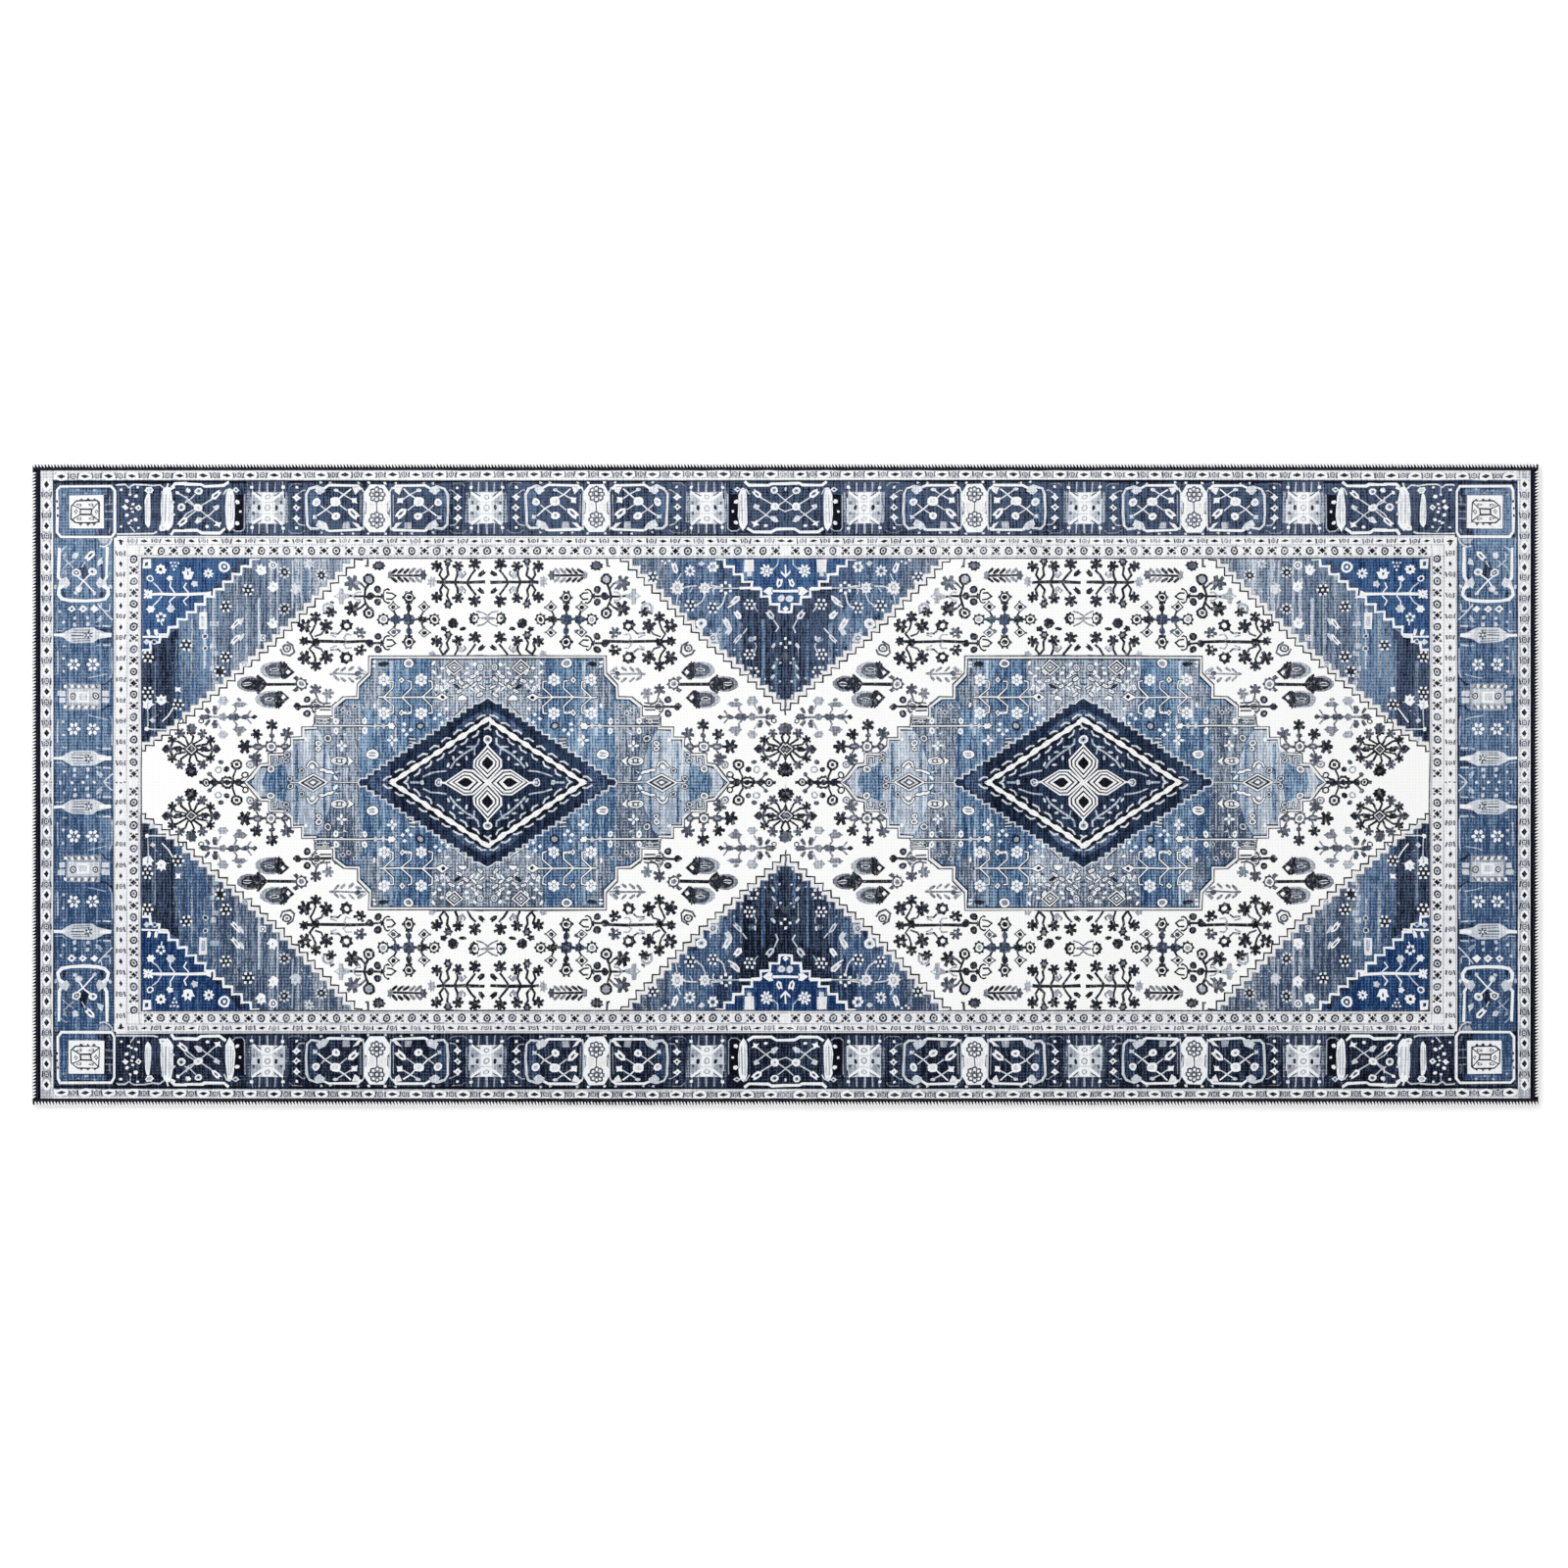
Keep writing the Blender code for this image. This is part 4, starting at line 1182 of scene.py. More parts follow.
def medallionMotifs():
    start = len(shapes)
    ring("white", 265.6, 147, 6.4, "ash", None, 5.4, 10)
    each(oval, "white", (224, 148.4, 2.6, 1.6, 6), (224, 143.6, 2.6, 1.4, 6))
    oval("ink", 235, 146.4, 6.6, 3, 8)
    nestedDiamond(321, 142, 11.4, 9.8)
    for x, y, w, h, a in ((296, 147.4, 3.4, 1.7, 60), (306, 141, 3, 1.8, 0), (297, 136, 3.6, 1.6, -40),
            (303, 131, 3, 1.7, 10), (308, 125, 2.8, 1.8, 0), (346, 146, 3, 2.2, 60),
            (337, 141.4, 2.4, 1.5, 0), (335.6, 135, 3.2, 1.9, 20), (348, 136, 3.2, 1.8, 50),
            (345, 121.6, 4.4, 1.5, 40), (343, 116, 4.4, 1.3, -50), (349, 115, 4.4, 1.3, -50),
            (355, 118, 4.6, 1.3, -30), (338, 126, 2.6, 1.8, 0), (326, 129, 2.6, 1.5, -60),
            (224, 96, 1.6, 3.4, 0), (262, 87, 2.4, 1.6, 0), (267, 87, 2.2, 1.6, 0), (312, 92, 2.8, 2, 0)):
        oval("white", x, y, w, h, 6, a)
    for x, y, a in ((352, 128, 35), (344, 131, 25), (335, 119, 30), (327, 113, 30), (352, 109, 35),
            (313, 119, 60), (306, 116, -60), (318, 126, 20), (329, 124, -30), (314, 136, -50),
            (300, 118, 70)):
        bud("white", x, y, 4.2, a, "mist", 0.4)
    ring("pearl", 353, 142, 4, "smoke", "white", 4.6, 8)
    oval("ink", 324, 119, 5.4, 2.4, 6, -35)
    # the tree that lies along the upper part
    line("white", "229,106 300,106", 1.6)
    for x in (235, 257, 282.5):
        for sy in (-1, 1):
            line("white", [(x, 106), (x + 12, 106 + sy * 11), (x + 12, 106 + sy * 19),
                (x + 7, 106 + sy * 20)], 1.4)
    for x in (236, 281):
        for y in (127, 86.6):
            lobes("white", x, y, 7.2, "silver", 6, 30)
            oval("white", x, y, 1.7, None, 6)
    for y in (127, 87):
        diamond("cream", 257.6, y, 3.6, 4)
        oval("smoke", 257.6, y, 1.3, None, 6)
    diamond("white", 306.6, 106, 8.2, 5)
    oval("black", 307.4, 106, 2.6, 2.4, 6)
    poly("white", "325,102.6 327,106.6 331,108.4 335,106 336.6,102.4")
    ring("ink", 280, 71, 5.8, "silver", None, 5.4, 8)
    for x, y in ((260.6, 73), (259, 66), (268.4, 66), (263.6, 61), (298, 80), (303.6, 85), (306, 75),
            (313, 80), (305, 68)):
        spiky("white", x, y, 2.8, 2.4, 4, 0.3)
    line("pearl", "322,83 328,88 333,92 335.6,98", 1.6)
    for y in (55.6, 51.4, 47.6):
        box("pearl", 266, y - 0.8, 274.6, y + 0.8)
    # the wing
    each(line, "white", ("151,71 246,71", 1.5), ("142,21 145,26 149,28 153,26 156,21", 2))
    for x in (177.6, 212.6):
        for sy in (1, -1):
            oval("white", x, 71 + sy * 6, 3.4, 4.4, 6)
            oval("ash", x, 71 + sy * 6, 1.3, 1.6, 4)
    spiky("white", 244.6, 71, 5.6, 4.4, 6, 0.3)
    for x in (225, 235):
        spiky("pearl", x, 71, 3, 3.6, 4, 0.3)
    each(petals, "white", (245.6, 53.6, 7, 4, 0.44, 0.26, 0), (184.6, 47, 6.8, 4, 0.44, 0.24, 0))
    each(oval, "white", (222, 36.6, 7.6, 5.6, 10), (181.6, 28.6, 9.4, 5, 12), (141, 54.6, 2.2, 2.6, 6),
        (149, 21.6, 3, 2.2, 8))
    each(oval, "ash", (221.6, 38, 4.6, 1.1, 6), (221.6, 35, 4.6, 1.1, 6))
    oval("smoke", 181.6, 28.6, 7.6, 3.4, 10)
    for x in (176.4, 181.6, 186.8):
        oval("cream", x, 28.6, 2.1, None, 6)
    poly("white", "191,34 199,28.6 192,22.4 193.4,28.6")
    each(ring, "white", (156.6, 50, 4.2, "haze", None, 3.6, 8), (156.6, 43.4, 3.6, "haze", None, 3, 8),
        (98.6, 18.6, 4.8, "ash", None, 4.2, 8))
    ring("pearl", 168, 56, 4.6, "smoke", None, 4.4, 8)
    for x, y in ((193, 87), (200.6, 94), (164, 76.6), (186, 90), (204, 77)):
        ring("pearl", x, y, 3.2, "smoke", None, 2.8, 6)
    for y in (79.6, 75.6):
        box("pearl", 153, y - 0.7, 170, y + 0.7)
    for x, y in ((117, 29), (122, 7), (136, 17), (118.6, 36)):
        ring("pearl", x, y, 3.8, "smoke", None, 3.4, 6)
    for x, y, a in ((161, 17.6, 0), (167, 16, -30), (172, 15, -30), (177, 8, -50)):
        oval("white", x, y, 4, 1.8, 6, a)
    nestedDiamond(150, 2.5, 19.4, 11)
    lines("pearl", 1.4, "169,2.5 206,2.5", "100,26 100,33.6 107,33.6 107,27")
    line("pearl", "122,2.5 131,2.5", 1.6)
    halo(start, "ink", 1)


def medallionHeart():
    # a navy lozenge with stepped sides
    x0 = design["bayAxis"]
    steps = [(x0, 105.6), (x0 - 5, 102.4)] + [(x0 - 2.5 - u, y) for u, y in stairs(0, 103.8, 8, 5.36, 19)][2:]
    steps = steps[:-1] + [(x0 - 157, 3), (x0 - 157, -4)]
    poly("deepNavy", steps + [(x0, -4)], True)
    each(poly, "navyBlue", (shift("-44,64 -28,78 0,92 0,84 -40,60", x0, 0), True),
        (shift("-142,8 -118,26 -118,-4 -148,-4", x0, 0), True))
    line("pearl", steps, 1.7)
    # the white rope inside it
    slope, c, s = 0.66, 0.835, 0.55
    poly("deepNavy", [(x0, 76), (x0 - 115, 0), (x0, 0)], True)
    line("black", [(x0, 79), (x0 - 119, 0.5)], 11)
    line("white", [(x0, 79), (x0 - 117, 1.8)], 3.6)
    for k in range(9):
        x = x0 - 3 - 14.2 * k
        y = 79 - slope * (x0 - x)
        oval("white", x, y, 8.4, 3.3, 8, 33.4)
        for sy in (-1, 1):
            line("pearl", [(x - 7 * c - sy * 8 * s, y - 7 * s + sy * 8 * c),
                (x - sy * 8.4 * s, y + sy * 8.4 * c),
                (x + 4.6 * c - sy * 5.4 * s, y + 4.6 * s + sy * 5.4 * c)], 2.1)
    poly("deepNavy", shift("-118,-4 -118,3 -130,3 -130,-4", x0, 0), True)
    ring("white", x0, 54.6, 5.6, "silver", "navy", 5.4, 10)
    lines("frost", 2, "345,46 336,45.4", "283,10 293,14 302,15.6 312,17")
    each(line, "frost", ("351,56 350,49 344,44 334,38 322,28 316,20", 2.3), ("345,44 346,36", 1.8),
        ("268,3 279,3", 1.4))
    for x, y, a in ((320, 32, 100), (336, 32, 100), (329, 39.4, 0), (326, 24, 0), (314, 24, 60)):
        oval("pearl", x, y, 3.2, 1.5, 6, a)
    ring("pearl", 302, 3, 4.6, "navy", "pearl", 4.6, 8)
    oval("frost", 282, 3.2, 2.8, 2.4, 6)
    # the four-lobed flower in its middle
    top = shift("0,48.6 -8,40 -17.6,29.6 -17.6,21 0,2.5", x0, 0)
    side = shift("0,2.5 -17,17.8 -29,18.2 -53,2.5 -53,-4 0,-4", x0, 0)
    for petal, mx, my in ((top, x0, 26), (side, x0 - 28, 2.5)):
        for shrink, ink in ((1, "white"), (0.87, "ink"), (0.77, "white"), (0.62, "ink"), (0.52, "white"),
                (0.36, "black")):
            poly(ink, [(mx + (x - mx) * shrink, my + (y - my) * shrink) for x, y in petal])
    each(line, "white", ([(x0, 49.6), (x0, 47)], 2.4), ([(x0 - 51, 2.5), (x0 - 58, 2.5)], 2.2))


def drawDesign():
    longBorder()
    shortBorder()
    field()
    innerGuard()
    outerGuard()
    cornerSquare()
    each(box, "edgeNavy", (0, design["guardOuter"][1], design["halfLength"], design["halfWidth"], True),
        (design["sideGuardOuter"][1], 0, design["halfLength"], design["halfWidth"], True))


drawDesign()


# How the rug lies: a slow swell over the floor, the same for every layer, never below zero.
lie = {"swell": 0.0011, "longWave": 0.61, "crossWave": 0.47, "phase": 0.8}


def lift(x, y):
    a = np.sin(math.tau * x / lie["longWave"] + lie["phase"])
    b = np.sin(math.tau * y / lie["crossWave"] + 0.6 * np.sin(math.tau * x / 0.93))
    return lie["swell"] * (1.0 + 0.5 * a + 0.5 * a * b)


def pointsOf(mesh):
    points = np.empty(len(mesh.vertices) * 3)
    mesh.vertices.foreach_get("co", points)
    return points.reshape(-1, 3)


def settle(mesh):
    # Lays a flat mesh over the swell.
    points = pointsOf(mesh)
    points[:, 2] += lift(points[:, 0], points[:, 1])
    mesh.vertices.foreach_set("co", points.ravel())
    mesh.update()


def showPiece(name, mesh, material, nodes):
    piece = bpy.data.objects.new(name, mesh)
    bpy.context.scene.collection.objects.link(piece)
    mesh.materials.clear()
    mesh.materials.append(material)
    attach(piece, "root")
    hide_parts(*nodes)
    return piece


def newMaterial(name, roughness, sheen=0.0):
    material = bpy.data.materials.new(name)
    material.use_nodes = True
    shader = material.node_tree.nodes["Principled BSDF"]
    shader.inputs["Roughness"].default_value = roughness
    shader.inputs["Sheen Weight"].default_value = sheen
    shader.inputs["Specular IOR Level"].default_value = 0.08
    return material, material.node_tree, shader


def link(tree, source, target):
    tree.links.new(source, target)
    return target


def objectPlace(tree, scale):
    place = tree.nodes.new("ShaderNodeTexCoord")
    mapping = tree.nodes.new("ShaderNodeMapping")
    mapping.inputs["Scale"].default_value = scale
    link(tree, place.outputs["Object"], mapping.inputs["Vector"])
    return mapping.outputs["Vector"]


def noise(tree, scale, detail=2.0, rough=0.5):
    node = tree.nodes.new("ShaderNodeTexNoise")
    node.inputs["Scale"].default_value = 1.0
    node.inputs["Detail"].default_value = detail
    node.inputs["Roughness"].default_value = rough
    link(tree, objectPlace(tree, scale), node.inputs["Vector"])
    return node.outputs["Fac"]


def compute(tree, operation, a, b, clamp=False):
    node = tree.nodes.new("ShaderNodeMath")
    node.operation = operation
    node.use_clamp = clamp
    for socket, value in zip(node.inputs, (a, b)):
        if isinstance(value, (int, float)):
            socket.default_value = value
        elif value is not None:
            link(tree, value, socket)
    return node.outputs["Value"]


def stretch(tree, value, low, high, newLow=0.0, newHigh=1.0):
    node = tree.nodes.new("ShaderNodeMapRange")
    node.inputs["From Min"].default_value = low
    node.inputs["From Max"].default_value = high
    node.inputs["To Min"].default_value = newLow
    node.inputs["To Max"].default_value = newHigh
    link(tree, value, node.inputs["Value"])
    return node.outputs["Result"]


def mixColour(tree, amount, a, b, blend="MIX"):
    node = tree.nodes.new("ShaderNodeMix")
    node.data_type = "RGBA"
    node.blend_type = blend
    if isinstance(amount, (int, float)):
        node.inputs["Factor"].default_value = amount
    else:
        link(tree, amount, node.inputs["Factor"])
    for socket, value in ((node.inputs["A"], a), (node.inputs["B"], b)):
        if isinstance(value, tuple):
            socket.default_value = value
        else:
            link(tree, value, socket)
    return node.outputs["Result"]


def roughen(tree, shader, height, strength, distance):
    bump = tree.nodes.new("ShaderNodeBump")
    bump.inputs["Strength"].default_value = strength
    bump.inputs["Distance"].default_value = distance
    link(tree, height, bump.inputs["Height"])
    link(tree, bump.outputs["Normal"], shader.inputs["Normal"])


def colourOf(tree, name):
    node = tree.nodes.new("ShaderNodeAttribute")
    node.attribute_name = name
    return node.outputs["Color"]


pile = {
    "longStreak": (260.0, 9.0, 1.0),      # worn streaks that run across the rug
    "shortStreak": (470.0, 100.0, 1.0),
    "patch": (9.0, 6.0, 1.0),
    "grain": (760.0, 560.0, 1.0),
    "fibre": (2600.0, 2100.0, 1.0),
    "weight": (0.25, 0.30, 0.16, 0.29),
    "farSidePaling": 0.26,                  # how much paler the +Y side is made
    "knot": 0.0037,                       # spacing of the woven grid
    "knotShade": 0.07,
    "pale": (0.39, 0.70),                 # between these the deep ink turns to the pale one
    "rubbed": (260.0, 190.0, 1.0),        # where the print is rubbed through to its ground
    "rubbedFrom": (0.54, 0.72),
    "wear": 0.42,
    "bump": 0.0006,
}


def makePileMaterial():
    material, tree, shader = newMaterial("printed_pile", 0.97, 0.02)
    total = 0.0
    layers = (("longStreak", 3.0, 0.34), ("shortStreak", 3.0, 0.32), ("patch", 2.0, 0.3), ("grain", 2.0, 0.3))
    for (name, detail, low), weight in zip(layers, pile["weight"]):
        part = stretch(tree, noise(tree, pile[name], detail, 0.6), low, 1 - low)
        total = compute(tree, "ADD", compute(tree, "MULTIPLY", part, weight), total)
        if name == "grain":
            grain = part
    place = tree.nodes.new("ShaderNodeSeparateXYZ")
    link(tree, objectPlace(tree, (1.0, 1.0, 1.0)), place.inputs["Vector"])
    # the +Y side turns paler, towards the pale inks
    total = compute(tree, "ADD", total, compute(tree, "MULTIPLY", place.outputs["Y"], pile["farSidePaling"]))
    turns = math.tau / pile["knot"]
    split = tree.nodes.new("ShaderNodeSeparateXYZ")
    link(tree, objectPlace(tree, (turns, turns, 1.0)), split.inputs["Vector"])
    across = compute(tree, "SINE", split.outputs["X"], None)
    along = compute(tree, "SINE", split.outputs["Y"], None)
    knots = compute(tree, "ADD", across, along)
    total = compute(tree, "ADD", total, compute(tree, "MULTIPLY", knots, pile["knotShade"]))
    pale = stretch(tree, total, *pile["pale"])
    ink = mixColour(tree, pale, colourOf(tree, "inkDeep"), colourOf(tree, "inkPale"))
    ground = mixColour(tree, pale, colourOf(tree, "groundDeep"), colourOf(tree, "groundPale"))
    rubbed = stretch(tree, noise(tree, pile["rubbed"], 4.0, 0.7), *pile["rubbedFrom"], 0.0, pile["wear"])
    colour = mixColour(tree, rubbed, ink, ground)
    fibres = noise(tree, pile["fibre"], 2.0, 0.7)
    for height, low, high, depth in ((knots, -2.0, 2.0, 0.03), (fibres, 0.3, 0.7, 0.06)):
        colour = mixColour(tree, 1.0, colour, stretch(tree, height, low, high, 1 - depth, 1.02), "MULTIPLY")
    link(tree, colour, shader.inputs["Base Color"])
    fuzz = compute(tree, "ADD", compute(tree, "MULTIPLY", fibres, 0.9), compute(tree, "MULTIPLY", knots, 0.2))
    fuzz = compute(tree, "ADD", compute(tree, "MULTIPLY", grain, 0.5), fuzz)
    roughen(tree, shader, fuzz, 0.35, pile["bump"])
    return material


def makeClothMaterial(name, deep, light, roughness, scale, bumpDepth, sheen=0.0):
    # A plain material with fine fibres: felt, thread, rubber and satin differ by their numbers.
    material, tree, shader = newMaterial(name, roughness, sheen)
    fibres = stretch(tree, noise(tree, scale, 4.0, 0.65), 0.3, 0.7)
    link(tree, mixColour(tree, fibres, deep, light), shader.inputs["Base Color"])
    roughen(tree, shader, fibres, 0.5, bumpDepth)
    return material


face = {
    "spacing": 34.0,            # the plain print's mesh points, in millimetres
    "backSpacing": 30.0,
}


def meshPoints():
    # A loose triangular grid, so that the cloth can swell where its print is plain.
    gap, low = face["spacing"], design["fieldAxis"]
    grid = []
    for r in range(int(design["halfWidth"] / gap) + 1):
        for c in range(int(design["halfLength"] / gap) + 1):
            x, y = (c + 0.5 * (r % 2)) * gap + 0.37, r * gap + low + 0.21
            if x < design["halfLength"] - 2 and y < design["halfWidth"] - 2:
                grid.append((x, y))
    return grid


def cutMesh(points, edges):
    wide, deep, low = design["halfLength"], design["halfWidth"], design["fieldAxis"]
    rim = [(0.0, low), (wide, low), (wide, deep), (0.0, deep)]
    start = len(points)
    edges = edges + [(start + k, start + (k + 1) % 4) for k in range(4)]
    made = delaunay_2d_cdt([Vector(p) for p in points + rim], edges, [], 0, 1e-3, False)
    flat = np.array([(p.x, p.y) for p in made[0]])
    triangles = np.array(made[2])
    mid = flat[triangles].mean(axis=1)
    inside = (mid[:, 0] > 0) & (mid[:, 0] < wide) & (mid[:, 1] > low) & (mid[:, 1] < deep)
    return flat, triangles[inside], mid[inside]


def topmost(mid):
    # Which shape, and which plain ground, each of these points shows.
    order = np.argsort(mid[:, 0])
    across = mid[order, 0]
    inkOf = np.zeros(len(mid), dtype=np.int64)
    groundOf = np.zeros(len(mid), dtype=np.int64)
    for k, (_, outline, ground) in enumerate(shapes):
        corners = np.array(outline)
        low, high = corners.min(axis=0), corners.max(axis=0)
        near = order[np.searchsorted(across, low[0]):np.searchsorted(across, high[0])]
        near = near[(mid[near, 1] > low[1]) & (mid[near, 1] < high[1])]
        if not len(near):
            continue
        px, py = mid[near, 0], mid[near, 1]
        winding = np.zeros(len(near), dtype=np.int64)
        for (ax, ay), (bx, by) in zip(corners, np.roll(corners, -1, axis=0)):
            side = (bx - ax) * (py - ay) - (px - ax) * (by - ay)
            winding += ((ay <= py) & (by > py) & (side > 0)).astype(np.int64)
            winding -= ((ay > py) & (by <= py) & (side < 0)).astype(np.int64)
        found = near[winding != 0]
        inkOf[found] = k
        if ground:
            groundOf[found] = k
    return inkOf, groundOf


def looks(inkOf, groundOf):
    names = {name: k for k, name in enumerate(inks)}
    number = np.array([names[shape[0]] for shape in shapes])
    return number[inkOf] * len(names) + number[groundOf]


def visibleEdges(triangles, look):
    # Only the edges between two different looks are kept for the final mesh.
    pairs = np.vstack([triangles[:, [0, 1]], triangles[:, [1, 2]], triangles[:, [2, 0]]])
    pairs.sort(axis=1)
    edges, back = np.unique(pairs, axis=0, return_inverse=True)
    both = np.tile(look, 3)
    lowest = np.full(len(edges), look.max() + 1)
    highest = np.full(len(edges), -1)
    np.minimum.at(lowest, back.ravel(), both)
    np.maximum.at(highest, back.ravel(), both)
    return edges[lowest != highest]


def straighten(flat, edges):
    # Drops the points that lie along a straight stretch.
    beside = {}
    for a, b in edges.tolist():
        beside.setdefault(a, set()).add(b)
        beside.setdefault(b, set()).add(a)
    for point in list(beside):
        if len(beside[point]) != 2:
            continue
        a, b = beside[point]
        if b in beside[a]:
            continue
        one, two = flat[a] - flat[point], flat[b] - flat[point]
        area = abs(one[0] * two[1] - one[1] * two[0])
        if area < 0.12 * np.hypot(*(one - two)) and one @ two < 0:
            del beside[point]
            beside[a].discard(point)
            beside[b].discard(point)
            beside[a].add(b)
            beside[b].add(a)
    names = {point: k for k, point in enumerate(beside)}
    kept = [(names[a], names[b]) for a in beside for b in beside[a] if a < b]
    return [tuple(flat[p]) for p in beside], kept


def triangulateDesign():
    # Cuts the flat print along its shapes, then again along only what shows.
    points, edges = [], []
    for _, outline, _ in shapes:
        first, count = len(points), len(outline)
        points += outline
        edges += [(first + k, first + (k + 1) % count) for k in range(count)]
    flat, triangles, mid = cutMesh(points, edges)
    shown = visibleEdges(triangles, looks(*topmost(mid)))
    points, edges = straighten(flat, shown)
    flat, triangles, mid = cutMesh(points + meshPoints(), edges)
    inkOf, groundOf = topmost(mid)
    return flat, triangles, inkOf, groundOf


def wobble(x, y):
    # Hand-drawn unevenness, nothing at the rug's edges.
    size = design["wobble"]
    dx = size * (np.sin(x * 0.31 + 2.1 * np.sin(y * 0.13)) + np.sin(y * 0.47 + x * 0.05))
    dy = size * (np.sin(y * 0.29 + 1.7 * np.sin(x * 0.11)) + np.sin(x * 0.43 - y * 0.07))
    fade = np.clip((design["halfLength"] - np.abs(x)) / 20, 0, 1)
    fade = fade * np.clip((design["halfWidth"] - np.abs(y)) / 12, 0, 1)
    return dx * fade, dy * fade


def makeFace(material):
    flat, quarter, inkIndex, groundIndex = triangulateDesign()
    print("design triangles in one quarter:", len(quarter))
    low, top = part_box("printed_face")
    halfX, halfY = design["halfLength"], design["halfWidth"]
    scaleX, scaleY = top.x / halfX * 1000, top.y / halfY * 1000
    y = flat[:, 1]
    slip = design["fieldAxis"] * (1 - ((y - design["fieldAxis"]) / 271.5) ** 2)
    slip = np.where(y < 274, slip, 0.0)
    copies = [(flat[:, 0], y, 1), (-flat[:, 0], y, -1), (flat[:, 0], -(y - 2 * slip), -1), (-flat[:, 0],
        -(y - 2 * slip), 1)]
    allPoints, allFaces = [], []
    for k, (cx, cy, turn) in enumerate(copies):
        allPoints.append(np.column_stack([cx, cy]))
        faces = quarter + k * len(flat)
        allFaces.append(faces if turn > 0 else faces[:, ::-1])
    points = np.vstack(allPoints)
    faces = np.vstack(allFaces)
    keys = np.round(points * 200).astype(np.int64)
    _, first, back = np.unique(keys, axis=0, return_index=True, return_inverse=True)
    points = points[first]
    faces = back.ravel()[faces]
    good = (faces[:, 0] != faces[:, 1]) & (faces[:, 1] != faces[:, 2]) & (faces[:, 2] != faces[:, 0])
    faces = faces[good]
    inkOf = np.tile(inkIndex, 4)[good]
    groundOf = np.tile(groundIndex, 4)[good]
    used, back = np.unique(faces, return_inverse=True)
    points, faces = points[used], back.reshape(faces.shape)
    dx, dy = wobble(points[:, 0], points[:, 1])
    moved = np.column_stack([(points[:, 0] + dx) * scaleX / 1000, (points[:, 1] + dy) * scaleY / 1000,
        np.full(len(points), top.z)])
    mesh = bpy.data.meshes.new("printed_face_cloth")
    mesh.from_pydata(moved.tolist(), [], faces.tolist())
    for name, of, which in (("inkDeep", inkOf, 0), ("inkPale", inkOf, 1), ("groundDeep", groundOf, 0),
            ("groundPale", groundOf, 1)):
        attribute = mesh.attributes.new(name, "BYTE_COLOR", "CORNER")
        table = np.array([[c / 255 for c in inks[shape[0]][which]] + [1.0] for shape in shapes])
        attribute.data.foreach_set("color_srgb", np.repeat(table[of], 3, axis=0).ravel())
    closeSheet(mesh, low.z)
    planarMap(mesh, halfX * scaleX / 1000)
    settle(mesh)
    return showPiece("printed_face_cloth", mesh, material, ["printed_face"])


def closeSheet(mesh, bottom):
    # Gives an open top its sides and its back.
    work = bmesh.new()
    work.from_mesh(mesh)
    rim = [e for e in work.edges if e.is_boundary]
    made = bmesh.ops.extrude_edge_only(work, edges=rim)["geom"]
    lower = [v for v in made if isinstance(v, bmesh.types.BMVert)]
    for vertex in lower:
        vertex.co.z = bottom
    rimEdges = [e for e in made if isinstance(e, bmesh.types.BMEdge) and e.is_boundary]
    bmesh.ops.contextual_create(work, geom=rimEdges)
    bmesh.ops.recalc_face_normals(work, faces=work.faces)
    work.to_mesh(mesh)
    work.free()
    print("sheet closed:", len(mesh.polygons), "faces")


def planarMap(mesh, halfX):
    # The top and the back each get their own half of the map, so that nothing overlaps.
    layer = mesh.uv_layers.new(name="OFBake")
    corners = np.empty(len(mesh.loops), dtype=np.int32)
    mesh.loops.foreach_get("vertex_index", corners)
    places = pointsOf(mesh)[corners]
    normals = np.empty(len(mesh.polygons) * 3)
    mesh.polygons.foreach_get("normal", normals)
    totals = np.empty(len(mesh.polygons), dtype=np.int32)
    mesh.polygons.foreach_get("loop_total", totals)
    upward = np.repeat(normals.reshape(-1, 3)[:, 2], totals)
    u = 0.5 + places[:, 0] / halfX * 0.49
    v = 0.25 + places[:, 1] / halfX * 0.49
    v = np.where(upward > 0.5, v, v + 0.48)
    side = np.abs(upward) < 0.5
    v = np.where(side, 0.97 + (places[:, 2] - places[:, 2].min()) * 2 + np.where(places[:, 1] > 0, 0.01, 0.0),
        v)
    layer.data.foreach_set("uv", np.column_stack([u, v]).astype(np.float32).ravel())


overlock = {
    "pitch": 0.0039,
    "strand": 0.00092,          # radius of the looper thread where it is fullest
    "slant": 0.0014,            # how far each strand leans along the edge
    "needleStrand": 0.00042,
    "loose": 0.03,
    "seed": 11,
}


def tube(work, path, radii, sides, flat=1.0):
    # A closed tube through the path's points. flat below 1 presses it along its own up.
    rings = []
    for k, point in enumerate(path):
        before, after = path[max(k - 1, 0)], path[min(k + 1, len(path) - 1)]
        along = (Vector(after) - Vector(before)).normalized()
        side = along.cross(Vector((0.2, -0.5, 0.84))).normalized()
        up = side.cross(along)
        ring = []
        for s in range(sides):
            a = math.tau * s / sides
            offset = side * math.cos(a) * radii[k] + up * math.sin(a) * radii[k] * flat
            ring.append(work.verts.new(Vector(point) + offset))
        rings.append(ring)
    for one, two in zip(rings, rings[1:]):
        for s in range(sides):
            work.faces.new((one[s], one[(s + 1) % sides], two[(s + 1) % sides], two[s]))
    work.faces.new(rings[0][::-1])
    work.faces.new(rings[-1])


def makeStitch(name, path, radii, sides, flat=1.0):
    # One stitch, drawn at a front edge: X runs along the edge, Y inward, Z up.
    work = bmesh.new()
    tube(work, path, radii, sides, flat)
    bmesh.ops.recalc_face_normals(work, faces=work.faces)
    mesh = bpy.data.meshes.new(name)
    work.to_mesh(mesh)
    work.free()
    for polygon in mesh.polygons:
        polygon.use_smooth = True
    return bpy.data.objects.new(name, mesh)


